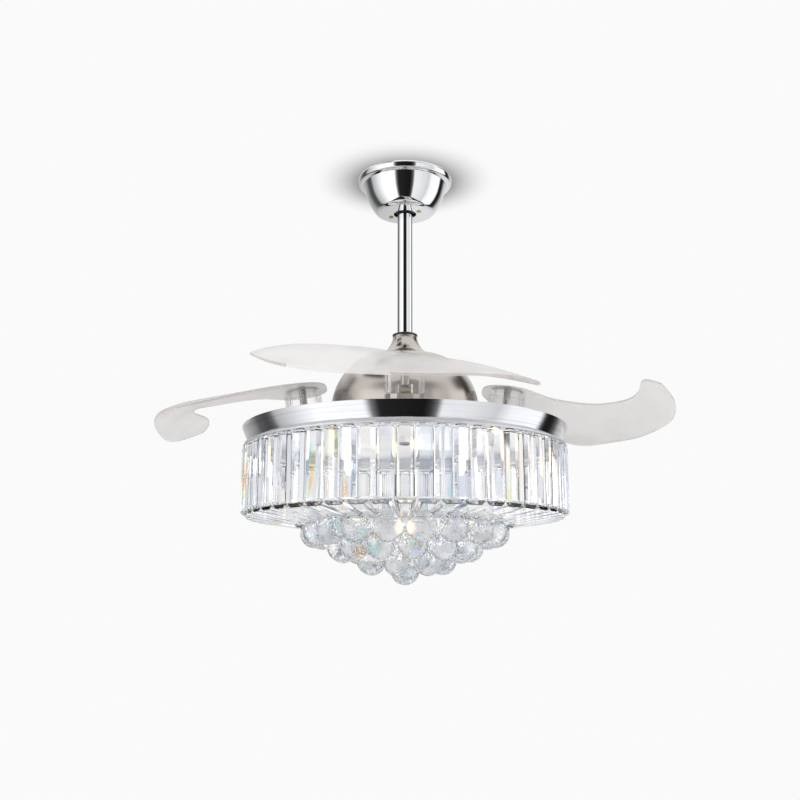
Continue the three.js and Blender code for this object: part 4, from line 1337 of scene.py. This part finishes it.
        # the crystals look out on paler surroundings with dark and bright specks
        inputs = {"Vector": direction, "Scale": self.speck_scale, "Detail": 1.0}
        speck = g.value("ShaderNodeTexNoise", None, inputs, "Fac")
        share = self.glass_share * (1.0 - self.glass_front_loss * azimuth.inside(self.glass_front))
        through = g.mix(share, around, grey(self.glass_level))
        dark = self.speck_dark_share * (1.0 - speck.between(*self.speck_dark))
        through = g.mix(dark, through, grey(self.speck_dark_level))
        through = g.mix(speck.between(*self.speck_bright), through, grey(self.speck_bright_level))
        path = g.node("ShaderNodeLightPath").outputs
        seen = g.mix(path["Is Transmission Ray"], seen, through)
        colour = g.mix(path["Is Camera Ray"], seen, grey(self.white))
        back = g.node("ShaderNodeBackground", None, {"Color": colour, "Strength": 1.0})
        g.node("ShaderNodeOutputWorld", None, {"Surface": back.outputs[0]})

    def disc(self, name: str, z: float, radius: float, face_down: bool) -> bpy.types.Object:
        """A round plane with an empty material, on the stage.

        Args:
            name: its name.
            z: its height.
            radius: its radius.
            face_down: whether it faces down, as a ceiling does.

        Returns:
            The object.
        """
        bm = bmesh.new()
        bmesh.ops.create_circle(bm, cap_ends=True, segments=self.disc_facets, radius=radius)
        bmesh.ops.translate(bm, vec=(0, 0, z), verts=bm.verts)
        if face_down:
            bmesh.ops.reverse_faces(bm, faces=bm.faces)
        mesh = bpy.data.meshes.new(name)
        bm.to_mesh(mesh)
        bm.free()
        plane = bpy.data.objects.new(name, mesh)
        bpy.context.scene.collection.objects.link(plane)
        material = bpy.data.materials.new(name)
        material.use_nodes = True
        mesh.materials.append(material)
        plane.visible_glossy = False
        plane.visible_transmission = False
        return plane

    def fade(self, g: Graph, away: Value, edges: Point, shader: Socket) -> None:
        """Ends a plane's graph: it fades out with distance, and doesn't show from behind.

        Args:
            g: the plane's graph.
            away: the distance from its middle.
            edges: where the fade starts and ends.
            shader: what the plane looks like.
        """
        back = g.value("ShaderNodeNewGeometry", None, None, "Backfacing")
        hidden = 1.0 - (1.0 - away.between(*edges)) * (1.0 - back)
        g.end(g.blend(hidden, shader, g.clear(grey(1.0))))

    def ceiling(self) -> None:
        """A pale ceiling that only shows a painted soft shadow round the bowl."""
        plane = self.disc("ceiling_plane", self.ceiling_gap, self.ceiling_radius, True)
        g = Graph(plane.data.materials[0].node_tree)
        away = g.away((0.0, self.shadow_shift, self.ceiling_gap))
        inputs = {"Value": away, "From Min": self.shadow_outer, "From Max": self.shadow_inner}
        # painted shadow: the ceiling's emission darkens towards the bowl
        depth = g.value("ShaderNodeMapRange", {"clamp": True}, inputs) ** self.shadow_power
        colour = g.mix(self.shadow_share * depth, grey(self.white), grey(0.0))
        painted_glow = g.node("ShaderNodeEmission", None, {"Color": colour, "Strength": 1.0})
        self.fade(g, away, self.ceiling_fade, painted_glow.outputs[0])
        plane.visible_diffuse = False
        plane.visible_shadow = False

    def floor(self) -> None:
        """A pale floor far below, which fades out at its edge."""
        plane = self.disc("floor_plane", self.floor_z, self.floor_radius, False)
        g = Graph(plane.data.materials[0].node_tree)
        inputs = {
            "Base Color": grey(self.floor_grey),
            "Roughness": 1.0,
            "Emission Color": grey(1.0),
            "Emission Strength": self.floor_glow,
        }
        self.fade(g, g.away((0.0, 0.0, self.floor_z)), self.floor_fade, g.principled(inputs))

    def lights(self) -> None:
        """Two small soft lamps that make the crystals sparkle."""
        for name, place in self.lamp_places:
            data = bpy.data.lights.new(name, "AREA")
            data.size = self.lamp_size
            data.energy = self.lamp_power
            lamp = bpy.data.objects.new(name, data)
            lamp.location = place
            aim = Vector(self.lamp_aim) - Vector(place)
            lamp.rotation_euler = aim.to_track_quat("-Z", "Y").to_euler()
            lamp.visible_glossy = False
            bpy.context.scene.collection.objects.link(lamp)

    def build(self) -> None:
        """Sets up the whole studio."""
        scene = bpy.context.scene
        scene.view_settings.view_transform = "Standard"
        scene.cycles.max_bounces = self.bounces
        scene.cycles.transmission_bounces = self.bounces
        scene.cycles.glossy_bounces = self.glossy_bounces
        scene.cycles.transparent_max_bounces = self.clear_bounces
        scene.cycles.sample_clamp_indirect = self.clamp
        self.camera()
        self.world()
        self.ceiling()
        self.floor()
        self.lights()


def main() -> None:
    """Builds the fan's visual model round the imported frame."""
    logging.basicConfig(level=logging.INFO, format="%(message)s")
    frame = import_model()
    finishes = Finishes()
    for part in (
        Interior(finishes, frame["nodes"], frame["record"]),
        CeilingEnd(finishes),
        RodAndNeck(finishes),
        MotorCover(finishes),
        Blades(finishes, frame["nodes"]),
        LampBand(finishes),
        PrismDrum(finishes),
        LowerRing(finishes),
        BallCascade(finishes),
        Studio(),
    ):
        part.build()


if __name__ == "__main__":
    main()
